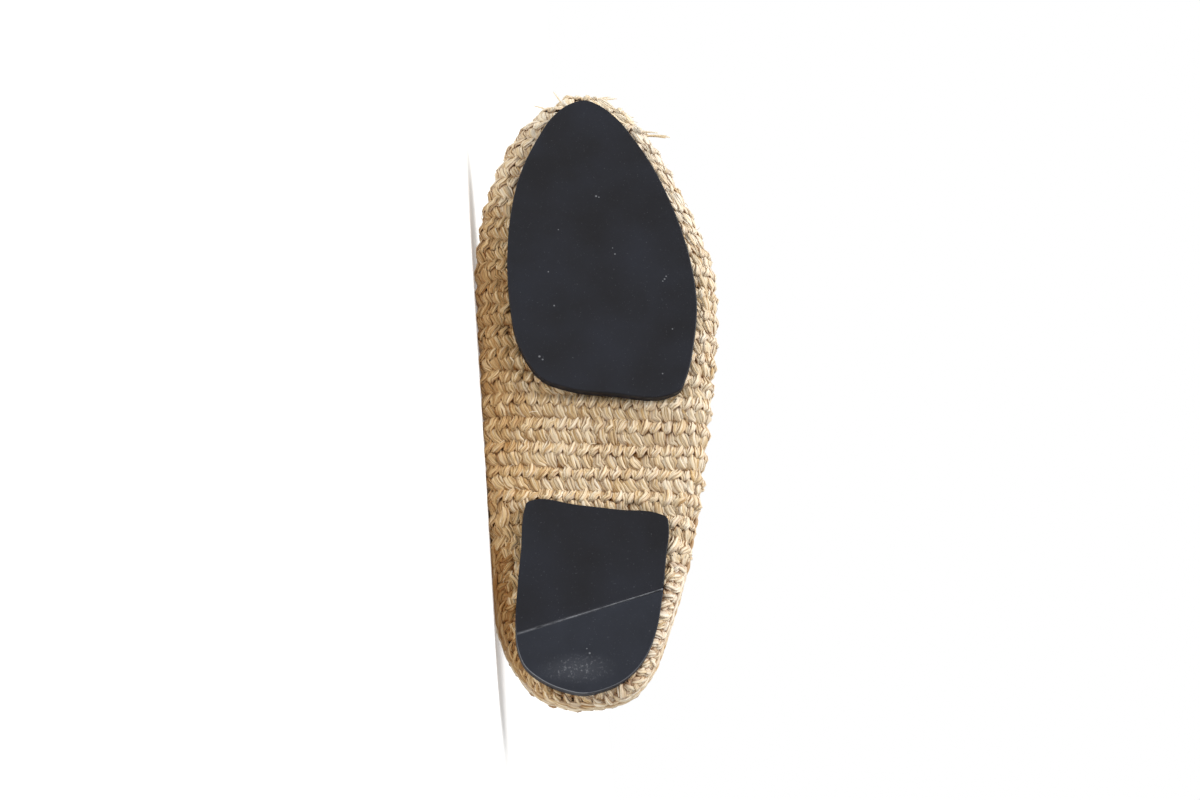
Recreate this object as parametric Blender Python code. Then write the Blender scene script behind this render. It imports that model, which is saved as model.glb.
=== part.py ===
"""Crocheted raffia mule for the left foot, lying on its inner side.

The shoe is worked out as it stands on its sole, in millimetres: "along" runs from the back of the heel
to the toe, "across" is positive towards the outer side and "up" rises from the ground. A parent empty
then lays it on its inner side, with the sole towards -Y, the toe towards -X and the outer side up.
"""

import math
from types import SimpleNamespace

import bmesh
import bpy
import numpy as np
from mathutils import Matrix, Vector

MM = 0.001

# Driving dimensions, mm
LENGTH = 250.0
BALL_WIDTH = 92.0
INSTEP_HEIGHT = 62.0
RIM_HEIGHT = 14.0
WALL = 4.0
PAD = 4.0
INSOLE = 2.5
GAP = 0.3
INSOLE_GAP = 0.75
TOE_SPRING = 2.0
ARCH_RISE = 2.0
PAD_EDGE = 0.6
FLOOR_PRESS = 0.8

# Places along the shoe, as shares of its length
THROAT = 0.52
COLLAR_END = {-1: 0.30, 1: 0.25}
SPRING_START = 0.78
ARCH_FROM, ARCH_TO = 0.27, 0.49
INSOLE_BACK, INSOLE_FRONT = 0.005, 0.93

# How far the underside rounds up at each end, mm
HEEL_NOSE = 7.0
TOE_NOSE = 14.0

# Shapes of the inner side (-1) and of the outer side (1), which is lower and rounder
FLAT_SHARE = {-1: 0.74, 1: 0.81}
FULLNESS = {-1: 2.15, 1: 2.0}
COLLAR_SWEEP = 1.35

# Sections of the crocheted body. along is a share of LENGTH; inner, outer (reach to each side of the axis)
# and ridge (how far the top line lies towards the inner side) are shares of BALL_WIDTH; widest (height of
# the widest line) and crown (height of the top line) are shares of INSTEP_HEIGHT.
SECTION_COLUMNS = ("along", "inner", "outer", "ridge", "widest", "crown")
SECTIONS = np.array((
    (0.000, 0.010, -0.010, 0.01, 0.190, 1.10),
    (0.012, 0.163, 0.152, 0.01, 0.175, 1.10),
    (0.048, 0.259, 0.246, 0.01, 0.165, 1.10),
    (0.112, 0.337, 0.315, 0.02, 0.165, 1.10),
    (0.224, 0.378, 0.400, 0.03, 0.165, 1.10),
    (0.320, 0.400, 0.450, 0.05, 0.165, 1.10),
    (0.432, 0.426, 0.491, 0.07, 0.165, 1.08),
    (0.520, 0.444, 0.516, 0.08, 0.165, 1.00),
    (0.640, 0.464, 0.535, 0.08, 0.165, 0.81),
    (0.700, 0.467, 0.517, 0.08, 0.165, 0.72),
    (0.760, 0.453, 0.467, 0.07, 0.165, 0.635),
    (0.824, 0.420, 0.396, 0.06, 0.170, 0.56),
    (0.888, 0.363, 0.317, 0.05, 0.180, 0.48),
    (0.936, 0.285, 0.235, 0.04, 0.190, 0.41),
    (0.972, 0.176, 0.135, 0.03, 0.205, 0.335),
    (1.000, 0.022, -0.022, 0.02, 0.220, 0.23),
))
SECTION_SIZES = (BALL_WIDTH, BALL_WIDTH, BALL_WIDTH, INSTEP_HEIGHT, INSTEP_HEIGHT)

# Outlines of the rubber pads: along in percent of LENGTH, across in percent of BALL_WIDTH
FOREFOOT_OUTLINE = (
    (97.5, -2.7), (96.6, 3.7), (94.5, 10.4), (90.2, 18.9), (83.8, 28.5), (77.5, 35.4),
    (69.2, 41.7), (61.1, 44.2), (55.1, 42.7), (49.6, 39.6), (47.2, 36.7), (46.2, 31.5),
    (46.3, 9.8), (47.0, -8.7), (48.5, -19.3), (51.4, -25.4), (55.2, -30.0), (60.2, -32.5),
    (68.4, -34.2), (76.0, -33.3), (83.2, -29.7), (89.8, -22.7), (94.2, -16.1), (96.6, -9.3),
)
HEEL_OUTLINE = (
    (29.2, -21.2), (28.8, -24.1), (27.6, -25.1), (22.2, -26.0), (16.0, -27.1), (10.8, -27.6),
    (7.0, -26.6), (4.6, -23.9), (2.6, -17.4), (1.3, -9.2), (0.8, -1.5), (1.4, 6.1), (3.2, 15.2),
    (6.0, 21.7), (9.6, 25.8), (14.4, 28.3), (21.0, 30.2), (25.8, 31.3), (27.0, 30.7), (27.5, 27.8),
    (28.0, 12.0), (28.6, -5.0),
)
HEEL_SEAM = ((9.2, -26.4), (16.2, 28.6))

# Shares of the shoe that meet the floor when it lies on its side: the heel rim is behind HEEL_ZONE, the vamp
# in front of VAMP_ZONE; there the sole's edge is below EDGE_ZONE and the side of the vamp above SIDE_ZONE.
HEEL_ZONE, VAMP_ZONE = 0.30, 0.50
EDGE_ZONE, SIDE_ZONE = 0.19, 0.42
MOST_YAW, MOST_LEAN = math.radians(12), math.radians(25)
HALVINGS = 30

# Fineness of the solids
HEEL_STATIONS = 26
TOE_STATIONS = 18
FOOTBED_POINTS = 9
WALL_POINTS = 9
DRAFT_POINTS = 48
OUTLINE_STEPS = 3
SPRING_CUTS = 8
SHARP_EDGE = math.radians(40)

# Colour as linear RGB, roughness
FINISHES = {
    "upper": ((0.60, 0.42, 0.22), 0.7),
    "insole": ((0.42, 0.26, 0.13), 0.55),
    "forefoot_sole": ((0.022, 0.022, 0.026), 0.5),
    "heel_pad_front": ((0.022, 0.022, 0.026), 0.5),
    "heel_pad_rear": ((0.026, 0.027, 0.032), 0.55),
}


def smooth(at, xs, ys):
    """Cubic through a table's points, with slopes taken from their neighbours."""
    slopes = np.gradient(ys, xs)
    i = int(np.clip(np.searchsorted(xs, at) - 1, 0, len(xs) - 2))
    width = xs[i + 1] - xs[i]
    q = (at - xs[i]) / width
    rise = 3 * q**2 - 2 * q**3
    ease_out = (q - 2 * q**2 + q**3) * width
    ease_in = (q**3 - q**2) * width
    return ys[i] * (1 - rise) + ys[i + 1] * rise + slopes[i] * ease_out + slopes[i + 1] * ease_in


def turn_of(share):
    """Angle that maps the length onto a half circle, so that both ends come out round."""
    return np.arccos(1 - 2 * np.clip(share, 0.0, 1.0))


SECTION_TURNS = turn_of(SECTIONS[:, 0])


def section_at(along):
    """Sizes of the body's section in mm, by the names of the table's columns."""
    turn = turn_of(along / LENGTH)
    columns = zip(SECTION_COLUMNS[1:], SECTION_SIZES, SECTIONS.T[1:])
    found = {name: size * smooth(turn, SECTION_TURNS, column) for name, size, column in columns}
    section = SimpleNamespace(**found)
    section.middle = (section.outer - section.inner) / 2
    section.half = (section.outer + section.inner) / 2
    section.under = underside(along, section.widest)
    return section


def toe_lift(along):
    """Height that the toe spring adds to the sole."""
    share = (along / LENGTH - SPRING_START) / (1 - SPRING_START)
    return TOE_SPRING * max(share, 0.0) ** 2


def underside(along, widest):
    """Height of the crochet under the foot: flat on the pads, arched between them, rounded up at the ends."""
    flat = PAD + GAP + toe_lift(along)
    arch = np.clip((along / LENGTH - ARCH_FROM) / (ARCH_TO - ARCH_FROM), 0.0, 1.0)
    heel = max(1 - along / HEEL_NOSE, 0.0)
    toe = max(1 - (LENGTH - along) / TOE_NOSE, 0.0)
    rounding = 1 - math.sqrt(1 - min(max(heel, toe), 1.0) ** 2)
    return flat + ARCH_RISE * math.sin(math.pi * arch) ** 2 + (widest - flat) * rounding


def collar_height(along, side, section):
    """Height of the wall's edge: the low rim at the heel, then the collar up to the throat, then the crown."""
    share = (along / LENGTH - COLLAR_END[side]) / (THROAT - COLLAR_END[side])
    if share >= 1:
        return section.crown
    return RIM_HEIGHT + (INSTEP_HEIGHT - RIM_HEIGHT) * max(share, 0.0) ** COLLAR_SWEEP


def wall_point(section, side, height):
    """Point (across, up) of the outer skin above the widest line, at a height."""
    share = min(max((height - section.widest) / (section.crown - section.widest), 0.0), 1.0)
    power = FULLNESS[side]
    top = -section.ridge - section.middle
    reach = top * side + (section.half - top * side) * (1 - share**power) ** (1 / power)
    return section.middle + side * reach, height


def side_line(along, side):
    """Points (across, up) of the outer skin from the middle of the underside to the wall's edge."""
    section = section_at(along)
    edge = collar_height(along, side, section)
    footbed = min(section.under + WALL + INSOLE_GAP + INSOLE, 0.5 * (section.widest + edge))
    footbed = max(footbed, section.widest)
    flat = FLAT_SHARE[side] * section.half
    lower = [(section.middle, section.under)]
    wall = []
    for angle in np.linspace(0, math.pi / 2, DRAFT_POINTS):
        across = flat + (section.half - flat) * math.sin(angle)
        up = section.widest - (section.widest - section.under) * math.cos(angle)
        lower.append((section.middle + side * across, up))
        wall.append(wall_point(section, side, footbed + (edge - footbed) * math.sin(angle)))
    lower.append(wall_point(section, side, footbed))
    return np.vstack((even_points(lower, FOOTBED_POINTS), even_points(wall, WALL_POINTS)[1:]))


def even_points(line, count):
    """The same line with this many points, evenly spaced along it."""
    line = np.array(line)
    run = np.concatenate(([0.0], np.cumsum(np.linalg.norm(np.diff(line, axis=0), axis=1))))
    wanted = np.linspace(0, run[-1], count)
    return np.column_stack([np.interp(wanted, run, column) for column in line.T])


def stations():
    """Places along the shoe: close together at the heel, at the throat and at the toe."""
    throat = THROAT * LENGTH
    heel = [throat * (1 - math.cos(math.pi * i / HEEL_STATIONS)) / 2 for i in range(1, HEEL_STATIONS)]
    toe = [throat + (LENGTH - throat) * math.sin(math.pi / 2 * i / TOE_STATIONS) for i in range(TOE_STATIONS)]
    return np.array(heel + toe)


def body_skin():
    """Outer skin of the crochet as a lattice: a row for each station, from the inner edge to the outer edge."""
    rows = []
    for along in stations():
        inner, outer = side_line(along, -1), side_line(along, 1)
        line = np.vstack((inner[::-1], outer[1:]))
        rows.append(np.column_stack((np.full(len(line), along), line)))
    return np.array(rows)


def lattice_faces(lattice):
    """Faces of the skin. In front of the throat each row closes on itself; both ends are capped."""
    rows, columns = lattice.shape[:2]
    index = np.arange(rows * columns).reshape(rows, columns)
    closed = np.arange(rows) >= HEEL_STATIONS - 1
    index[closed, -1] = index[closed, 0]
    faces = []
    for i in range(rows - 1):
        for j in range(columns - 1):
            quad = (index[i, j], index[i, j + 1], index[i + 1, j + 1], index[i + 1, j])
            faces.append(tuple(dict.fromkeys(quad)))
    faces.append(tuple(index[0, ::-1]))
    faces.append(tuple(index[-1, :-1]))
    return faces


def skin_normals(points, faces):
    mesh = bpy.data.meshes.new("skin")
    mesh.from_pydata(points.reshape(-1, 3), [], faces)
    mesh.update()
    normals = np.array([vertex.normal for vertex in mesh.vertices])
    bpy.data.meshes.remove(mesh)
    return normals.reshape(points.shape)


def floor_normal(yaw, lean):
    """Direction down to the floor, in the standing shoe's axes, for a shoe that lies on its inner side."""
    return np.array((math.sin(yaw) * math.cos(lean), -math.cos(yaw) * math.cos(lean), math.sin(lean)))


def settle(points):
    """Yaw and lean at which heel rim, sole edge and vamp meet the floor together, found by halving."""
    heel = points[points[:, 0] < HEEL_ZONE * LENGTH]
    front = points[points[:, 0] > VAMP_ZONE * LENGTH]
    edge = front[front[:, 2] < EDGE_ZONE * INSTEP_HEIGHT]
    vamp = front[front[:, 2] > SIDE_ZONE * INSTEP_HEIGHT]

    def reach(part, yaw, lean):
        return (part @ floor_normal(yaw, lean)).max()

    low, high = -MOST_LEAN, MOST_LEAN
    for _ in range(HALVINGS):
        lean = (low + high) / 2
        back, forward = -MOST_YAW, MOST_YAW
        for _ in range(HALVINGS):
            yaw = (back + forward) / 2
            if reach(heel, yaw, lean) > reach(front, yaw, lean):
                back = yaw
            else:
                forward = yaw
        if reach(vamp, yaw, lean) > reach(edge, yaw, lean):
            high = lean
        else:
            low = lean
    return yaw, lean


def press_on_floor(lattice):
    """Flattens the crochet where it lies on the floor, and returns the direction down to the floor."""
    points = lattice.reshape(-1, 3)
    normal = floor_normal(*settle(points))
    depth = points @ normal
    over = np.maximum(depth - (depth.max() - FLOOR_PRESS), 0.0)
    return (points - over[:, None] * normal).reshape(lattice.shape), normal


def new_object(name, points, faces, parent):
    """One named piece with its material, made from points in mm."""
    mesh = bpy.data.meshes.new(name)
    mesh.from_pydata(np.asarray(points).reshape(-1, 3) * MM, [], faces)
    mesh.update()
    colour, roughness = FINISHES[name]
    material = bpy.data.materials.new(name)
    material.use_nodes = True
    shader = material.node_tree.nodes["Principled BSDF"]
    shader.inputs["Base Color"].default_value = (*colour, 1.0)
    shader.inputs["Roughness"].default_value = roughness
    mesh.materials.append(material)
    piece = bpy.data.objects.new(name, mesh)
    bpy.context.scene.collection.objects.link(piece)
    piece.parent = parent
    return piece


def drop_loose_points(piece):
    """Removes the points that no face uses and turns all faces outwards."""
    bm = bmesh.new()
    bm.from_mesh(piece.data)
    loose = [vertex for vertex in bm.verts if not vertex.link_faces]
    bmesh.ops.delete(bm, geom=loose, context="VERTS")
    bmesh.ops.recalc_face_normals(bm, faces=bm.faces)
    bm.to_mesh(piece.data)
    bm.free()
    piece.data.shade_smooth()
    piece.data.set_sharp_from_angle(angle=SHARP_EDGE)


def make_upper(lattice, normals, faces, parent):
    """The crocheted body: the skin, the same skin a wall's thickness inside it, and the edge between them."""
    count = lattice.shape[0] * lattice.shape[1]
    points = np.vstack((lattice.reshape(-1, 3), (lattice - WALL * normals).reshape(-1, 3)))
    inside = [tuple(i + count for i in reversed(face)) for face in faces]
    sides = {(a, b) for face in faces for a, b in zip(face, face[1:] + face[:1])}
    edge = [(b, a, a + count, b + count) for a, b in sides if (b, a) not in sides]
    upper = new_object("upper", points, faces + inside + edge, parent)
    drop_loose_points(upper)
    return upper


def make_insole(lattice, normals, parent):
    """The footbed: it follows the inside of the crochet below and at its edge, and is level across its top."""
    middle = lattice.shape[1] // 2
    reach = FOOTBED_POINTS - 1
    share = lattice[:, middle, 0] / LENGTH
    kept = (share > INSOLE_BACK) & (share < INSOLE_FRONT)
    bottom = (lattice - (WALL + INSOLE_GAP) * normals)[kept, middle - reach : middle + reach + 1]
    rows, columns = bottom.shape[:2]
    index = np.arange(rows * columns).reshape(rows, columns)
    faces = []
    for i in range(rows - 1):
        for j in range(columns - 1):
            faces.append((index[i, j], index[i, j + 1], index[i + 1, j + 1], index[i + 1, j]))
        faces.append((index[i, 0], index[i + 1, 0], index[i + 1, -1], index[i, -1]))
    faces.append(tuple(index[0, ::-1]))
    faces.append(tuple(index[-1]))
    insole = new_object("insole", bottom, faces, parent)
    drop_loose_points(insole)
    return insole


def closed_curve(outline):
    """Smooth closed curve in mm through an outline given in percent of length and ball width."""
    knots = np.array(outline) * (LENGTH / 100, BALL_WIDTH / 100)
    wrapped = np.vstack((knots[-3:], knots, knots[:4]))
    run = np.concatenate(([0.0], np.cumsum(np.linalg.norm(np.diff(wrapped, axis=0), axis=1))))
    points = []
    for i in range(3, 3 + len(knots)):
        for q in np.arange(OUTLINE_STEPS) / OUTLINE_STEPS:
            at = run[i] + q * (run[i + 1] - run[i])
            points.append([smooth(at, run, column) for column in wrapped.T])
    return np.array(points)


def make_pad(name, outline, parent):
    """A rubber pad of even thickness on this outline, bent up with the toe spring."""
    count = len(outline)
    lower = np.column_stack((outline, np.zeros(count)))
    upper = np.column_stack((outline, np.full(count, PAD)))
    walls = [(i, (i + 1) % count, (i + 1) % count + count, i + count) for i in range(count)]
    caps = [tuple(range(count))[::-1], tuple(range(count, 2 * count))]
    pad = new_object(name, np.vstack((lower, upper)), walls + caps, parent)
    bm = bmesh.new()
    bm.from_mesh(pad.data)
    bmesh.ops.recalc_face_normals(bm, faces=bm.faces)
    rims = [edge for edge in bm.edges if len({vertex.co.z for vertex in edge.verts}) == 1]
    bmesh.ops.bevel(bm, geom=rims, offset=PAD_EDGE * MM, segments=2, profile=0.5, affect="EDGES")
    front = outline[:, 0].max() / LENGTH
    for share in np.linspace(SPRING_START, front, SPRING_CUTS + 1)[:-1]:
        geometry = bm.verts[:] + bm.edges[:] + bm.faces[:]
        bmesh.ops.bisect_plane(bm, geom=geometry, plane_co=(share * LENGTH * MM, 0, 0), plane_no=(1, 0, 0))
    for vertex in bm.verts:
        vertex.co.z += toe_lift(vertex.co.x / MM) * MM
    bm.to_mesh(pad.data)
    bm.free()
    pad.data.shade_smooth()
    pad.data.set_sharp_from_angle(angle=SHARP_EDGE)
    return pad


def seam_cut(outline, keep):
    """The part of an outline in front of the heel seam (keep 1) or behind it (-1), half a gap away from it."""
    a, b = np.array(HEEL_SEAM) * (LENGTH / 100, BALL_WIDTH / 100)
    ahead = np.array((b[1] - a[1], a[0] - b[0])) / np.linalg.norm(b - a)
    clear = keep * ((outline - a) @ ahead) - GAP / 2
    kept = []
    for i in range(len(outline)):
        j = (i + 1) % len(outline)
        if clear[i] >= 0:
            kept.append(outline[i])
        if clear[i] * clear[j] < 0:
            kept.append(outline[i] + (outline[j] - outline[i]) * clear[i] / (clear[i] - clear[j]))
    return np.array(kept)


def lay_on_side(parent, down, pieces):
    """Turns the shoe so that down points to the floor, and stands its box on the origin."""
    up = Vector(-down)
    toe = Vector((1, 0, 0))
    x_axis = (up * toe.dot(up) - toe).normalized()
    turn = Matrix((x_axis, up.cross(x_axis), up))
    corners = np.vstack([np.array([turn @ vertex.co for vertex in piece.data.vertices]) for piece in pieces])
    low, high = corners.min(axis=0), corners.max(axis=0)
    middle = (low + high) / 2
    parent.matrix_world = Matrix.Translation((-middle[0], -middle[1], -low[2])) @ turn.to_4x4()


def main():
    for obj in list(bpy.data.objects):
        bpy.data.objects.remove(obj, do_unlink=True)
    shoe = bpy.data.objects.new("shoe", None)
    bpy.context.scene.collection.objects.link(shoe)

    lattice = body_skin()
    faces = lattice_faces(lattice)
    lattice, down = press_on_floor(lattice)
    normals = skin_normals(lattice, faces)
    heel = closed_curve(HEEL_OUTLINE)
    pieces = [
        make_upper(lattice, normals, faces, shoe),
        make_insole(lattice, normals, shoe),
        make_pad("forefoot_sole", closed_curve(FOREFOOT_OUTLINE), shoe),
        make_pad("heel_pad_front", seam_cut(heel, 1), shoe),
        make_pad("heel_pad_rear", seam_cut(heel, -1), shoe),
    ]
    lay_on_side(shoe, down, pieces)


main()
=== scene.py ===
"""Crocheted raffia mule for the left foot, lying on its inner side: looks, floor, light and camera.

Shapes are worked out in millimetres on the standing shoe, as in the CAD: "along" runs from the back of the
heel to the toe, "across" is positive towards the outer side and "up" rises from the ground. to_world() then
lays them on the shoe's inner side. The crochet is made stitch by stitch from strands of raffia.
"""

import math
from types import SimpleNamespace

import bmesh
import bpy
import numpy as np
from mathutils import Matrix, Vector


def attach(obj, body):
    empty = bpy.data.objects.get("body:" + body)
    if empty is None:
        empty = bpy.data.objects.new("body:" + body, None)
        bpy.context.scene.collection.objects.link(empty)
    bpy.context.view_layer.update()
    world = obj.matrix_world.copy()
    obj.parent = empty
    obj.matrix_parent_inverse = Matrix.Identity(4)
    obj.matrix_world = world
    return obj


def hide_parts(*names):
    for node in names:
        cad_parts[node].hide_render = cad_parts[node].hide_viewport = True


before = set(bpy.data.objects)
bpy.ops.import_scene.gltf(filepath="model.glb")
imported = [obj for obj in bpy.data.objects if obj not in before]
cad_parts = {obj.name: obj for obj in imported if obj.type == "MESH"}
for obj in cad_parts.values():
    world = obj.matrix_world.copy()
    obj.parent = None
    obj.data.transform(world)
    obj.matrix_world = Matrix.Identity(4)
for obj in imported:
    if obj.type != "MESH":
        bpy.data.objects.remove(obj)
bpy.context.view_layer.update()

MM = 0.001

# The shoe's two sides, as the sign of their places across
INNER, OUTER = -1, 1
SIDES = (INNER, OUTER)

# Sizes of the shoe, mm, and places along it as shares of its length, as in the CAD
LENGTH, BALL_WIDTH, INSTEP_HEIGHT, RIM_HEIGHT = 250.0, 92.0, 62.0, 14.0
WALL, PAD, INSOLE, GAP, INSOLE_GAP = 4.0, 4.0, 2.5, 0.3, 0.75
TOE_SPRING, ARCH_RISE, HEEL_NOSE, TOE_NOSE = 2.0, 2.0, 7.0, 14.0
THROAT, SPRING_START, ARCH_FROM, ARCH_TO = 0.52, 0.78, 0.27, 0.49
INSOLE_BACK, INSOLE_FRONT = 0.005, 0.93
THROAT_AT = THROAT * LENGTH
# Where the collar meets the low rim, and how it sweeps up from there to the throat
COLLAR_END = {INNER: 0.30, OUTER: 0.25}
COLLAR_SWEEP = 1.35
# How far out the underside is flat, and how full the wall is
FLAT_SHARE = {INNER: 0.74, OUTER: 0.81}
FULLNESS = {INNER: 2.15, OUTER: 2.0}

# Sections of the crocheted body: along as a share of LENGTH; inner, outer and ridge as shares of
# BALL_WIDTH; widest and crown as shares of INSTEP_HEIGHT
SECTIONS = np.array((
    (0.000, 0.010, -0.010, 0.01, 0.190, 1.10), (0.012, 0.163, 0.152, 0.01, 0.175, 1.10),
    (0.048, 0.259, 0.246, 0.01, 0.165, 1.10), (0.112, 0.337, 0.315, 0.02, 0.165, 1.10),
    (0.224, 0.378, 0.400, 0.03, 0.165, 1.10), (0.320, 0.400, 0.450, 0.05, 0.165, 1.10),
    (0.432, 0.426, 0.491, 0.07, 0.165, 1.08), (0.520, 0.444, 0.516, 0.08, 0.165, 1.00),
    (0.640, 0.464, 0.535, 0.08, 0.165, 0.81), (0.700, 0.467, 0.517, 0.08, 0.165, 0.72),
    (0.760, 0.453, 0.467, 0.07, 0.165, 0.635), (0.824, 0.420, 0.396, 0.06, 0.170, 0.56),
    (0.888, 0.363, 0.317, 0.05, 0.180, 0.48), (0.936, 0.285, 0.235, 0.04, 0.190, 0.41),
    (0.972, 0.176, 0.135, 0.03, 0.205, 0.335), (1.000, 0.022, -0.022, 0.02, 0.220, 0.23),
))
SECTION_NAMES = ("inner", "outer", "ridge", "widest", "crown")
SECTION_SIZES = (BALL_WIDTH, BALL_WIDTH, BALL_WIDTH, INSTEP_HEIGHT, INSTEP_HEIGHT)

# Outlines of the rubber pads: along in percent of LENGTH, across in percent of BALL_WIDTH
FOREFOOT_OUTLINE = (
    (97.5, -2.7), (96.6, 3.7), (94.5, 10.4), (90.2, 18.9), (83.8, 28.5), (77.5, 35.4),
    (69.2, 41.7), (61.1, 44.2), (55.1, 42.7), (49.6, 39.6), (47.2, 36.7), (46.2, 31.5),
    (46.3, 9.8), (47.0, -8.7), (48.5, -19.3), (51.4, -25.4), (55.2, -30.0), (60.2, -32.5),
    (68.4, -34.2), (76.0, -33.3), (83.2, -29.7), (89.8, -22.7), (94.2, -16.1), (96.6, -9.3),
)
HEEL_OUTLINE = (
    (29.2, -21.2), (28.8, -24.1), (27.6, -25.1), (22.2, -26.0), (16.0, -27.1), (10.8, -27.6),
    (7.0, -26.6), (4.6, -23.9), (2.6, -17.4), (1.3, -9.2), (0.8, -1.5), (1.4, 6.1), (3.2, 15.2),
    (6.0, 21.7), (9.6, 25.8), (14.4, 28.3), (21.0, 30.2), (25.8, 31.3), (27.0, 30.7), (27.5, 27.8),
    (28.0, 12.0), (28.6, -5.0),
)
HEEL_SEAM = ((9.2, -26.4), (16.2, 28.6))
PERCENT = np.array((LENGTH, BALL_WIDTH)) / 100

# How the shoe lies: the sole's outward direction and the heel's end on the ground, in the CAD's frame, m
SOLE_DOWN = Vector((0.00766894, -0.99576691, 0.09159389)).normalized()
HEEL_POINT = np.array((0.1246737, -0.0292658, 0.0306029))
FOOT_UP = -SOLE_DOWN
TO_TOE = Vector((FOOT_UP.z, 0.0, -FOOT_UP.x)).normalized()
TO_OUTER = FOOT_UP.cross(TO_TOE)
SHOE_AXES = np.array((TO_TOE, TO_OUTER, FOOT_UP))


def to_world(points):
    """Points of the standing shoe in mm, laid down, in metres, and pressed flat where they meet the floor."""
    world = HEEL_POINT + np.asarray(points) @ SHOE_AXES * MM
    world[..., 2] = np.maximum(world[..., 2], 0.0)
    return world


# Curves and directions


def smooth(at, xs, ys):
    """Cubic through a table's points, with slopes taken from their neighbours."""
    xs, ys = np.asarray(xs, float), np.asarray(ys, float)
    slopes = np.gradient(ys, xs)
    i = np.clip(np.searchsorted(xs, at) - 1, 0, len(xs) - 2)
    width = xs[i + 1] - xs[i]
    q = (at - xs[i]) / width
    rise = 3 * q**2 - 2 * q**3
    ease_out = (q - 2 * q**2 + q**3) * width
    ease_in = (q**3 - q**2) * width
    return ys[i] * (1 - rise) + ys[i + 1] * rise + slopes[i] * ease_out + slopes[i + 1] * ease_in


def smooth_line(at, knots, line):
    """Points at these places of a smooth curve through a line's points."""
    return np.column_stack([smooth(at, knots, column) for column in line.T])


def run_of(line):
    """Length run along a line of points, from its start to each point."""
    return np.concatenate(([0.0], np.cumsum(np.linalg.norm(np.diff(line, axis=0), axis=1))))


def between(at, run, line):
    """Points of a line at these lengths of its run."""
    return np.stack([np.interp(at, run, column) for column in line.T], axis=-1)


def eased(start, end, turn):
    """Places that lie closer at both ends of a stretch, from angles between 0 and half a turn."""
    return start + (end - start) * (1 - np.cos(turn)) / 2


def unit(vectors):
    """Directions of vectors."""
    return vectors / np.linalg.norm(vectors, axis=-1, keepdims=True)


# The crochet's skin

# Points of the skin along the shoe and round each half, of a curve in a section's draft, and of the collar
GRID_ROWS, GRID_HALF, DRAFT_POINTS, COLLAR_POINTS = 220, 70, 40, 90
# Too small to show, to keep a height rising and a divisor off zero
TINY, TINIEST = 1e-9, 1e-12


def turn_of(share):
    """Angle that maps the length onto a half circle, so that both ends come out round."""
    return np.arccos(1 - 2 * np.clip(share, 0.0, 1.0))


def toe_lift(along):
    """Height of the ground side of the sole over the ground."""
    share = (np.asarray(along) / LENGTH - SPRING_START) / (1 - SPRING_START)
    return TOE_SPRING * np.maximum(share, 0.0) ** 2


def section_at(along):
    """Sizes of the body's sections in mm."""
    turn, knots = turn_of(along / LENGTH), turn_of(SECTIONS[:, 0])
    section = SimpleNamespace()
    for name, size, column in zip(SECTION_NAMES, SECTION_SIZES, SECTIONS.T[1:]):
        setattr(section, name, size * smooth(turn, knots, column))
    section.middle = (section.outer - section.inner) / 2
    section.half = (section.outer + section.inner) / 2
    flat = PAD + GAP + toe_lift(along)
    arch = np.clip((along / LENGTH - ARCH_FROM) / (ARCH_TO - ARCH_FROM), 0.0, 1.0)
    end = np.maximum(1 - along / HEEL_NOSE, 1 - (LENGTH - along) / TOE_NOSE)
    rounding = 1 - np.sqrt(1 - np.clip(end, 0.0, 1.0) ** 2)
    section.under = flat + ARCH_RISE * np.sin(math.pi * arch) ** 2 + (section.widest - flat) * rounding
    return section


def collar_height(along, side):
    """Height of the wall's edge behind the throat."""
    share = (along / LENGTH - COLLAR_END[side]) / (THROAT - COLLAR_END[side])
    return RIM_HEIGHT + (INSTEP_HEIGHT - RIM_HEIGHT) * np.clip(share, 0.0, 1.0) ** COLLAR_SWEEP


def side_of_skin(along, section, side):
    """Points (across, up) of one side, evenly spaced from the underside's middle to the top line; girths."""
    angle = np.linspace(0, math.pi / 2, DRAFT_POINTS)
    flat = FLAT_SHARE[side] * section.half
    power = FULLNESS[side]
    top = (-section.ridge - section.middle) * side
    lines, girths = [], []
    for i in range(len(along)):
        bilge = flat[i] + (section.half[i] - flat[i]) * np.sin(angle)
        bilge_up = section.widest[i] - (section.widest[i] - section.under[i]) * np.cos(angle)
        rise = np.sin(angle)[1:]
        wall = top[i] + (section.half[i] - top[i]) * (1 - rise**power) ** (1 / power)
        wall_up = section.widest[i] + (section.crown[i] - section.widest[i]) * rise
        across = section.middle[i] + side * np.concatenate(([0.0], bilge, wall))
        line = np.column_stack((across, np.concatenate(([section.under[i]], bilge_up, wall_up))))
        run = run_of(line)
        lines.append(between(np.linspace(0, run[-1], GRID_HALF), run, line))
        girths.append(run[-1])
    return np.array(lines), np.array(girths)


def make_skin():
    """The outer skin as a grid: rows along the shoe, columns round it from top line to top line."""
    along = eased(0.0, LENGTH, math.pi * (np.arange(GRID_ROWS) + 0.5) / GRID_ROWS)
    section = section_at(along)
    inner, inner_girth = side_of_skin(along, section, INNER)
    outer, outer_girth = side_of_skin(along, section, OUTER)
    line = np.concatenate((inner[:, ::-1], outer[:, 1:]), axis=1)
    points = np.concatenate((np.broadcast_to(along[:, None, None], line.shape[:2] + (1,)), line), axis=2)
    normals = np.cross(np.gradient(points, axis=1), np.gradient(points, axis=0))
    normals /= np.linalg.norm(normals, axis=2, keepdims=True) + TINIEST
    steps = np.linalg.norm(np.diff(points, axis=0), axis=2).mean(axis=1)
    return SimpleNamespace(
        along=along, points=points, normals=normals, girth={INNER: inner_girth, OUTER: outer_girth},
        around=np.linspace(-1, 1, line.shape[1]), run=np.concatenate(([0.0], np.cumsum(steps))),
    )


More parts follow.
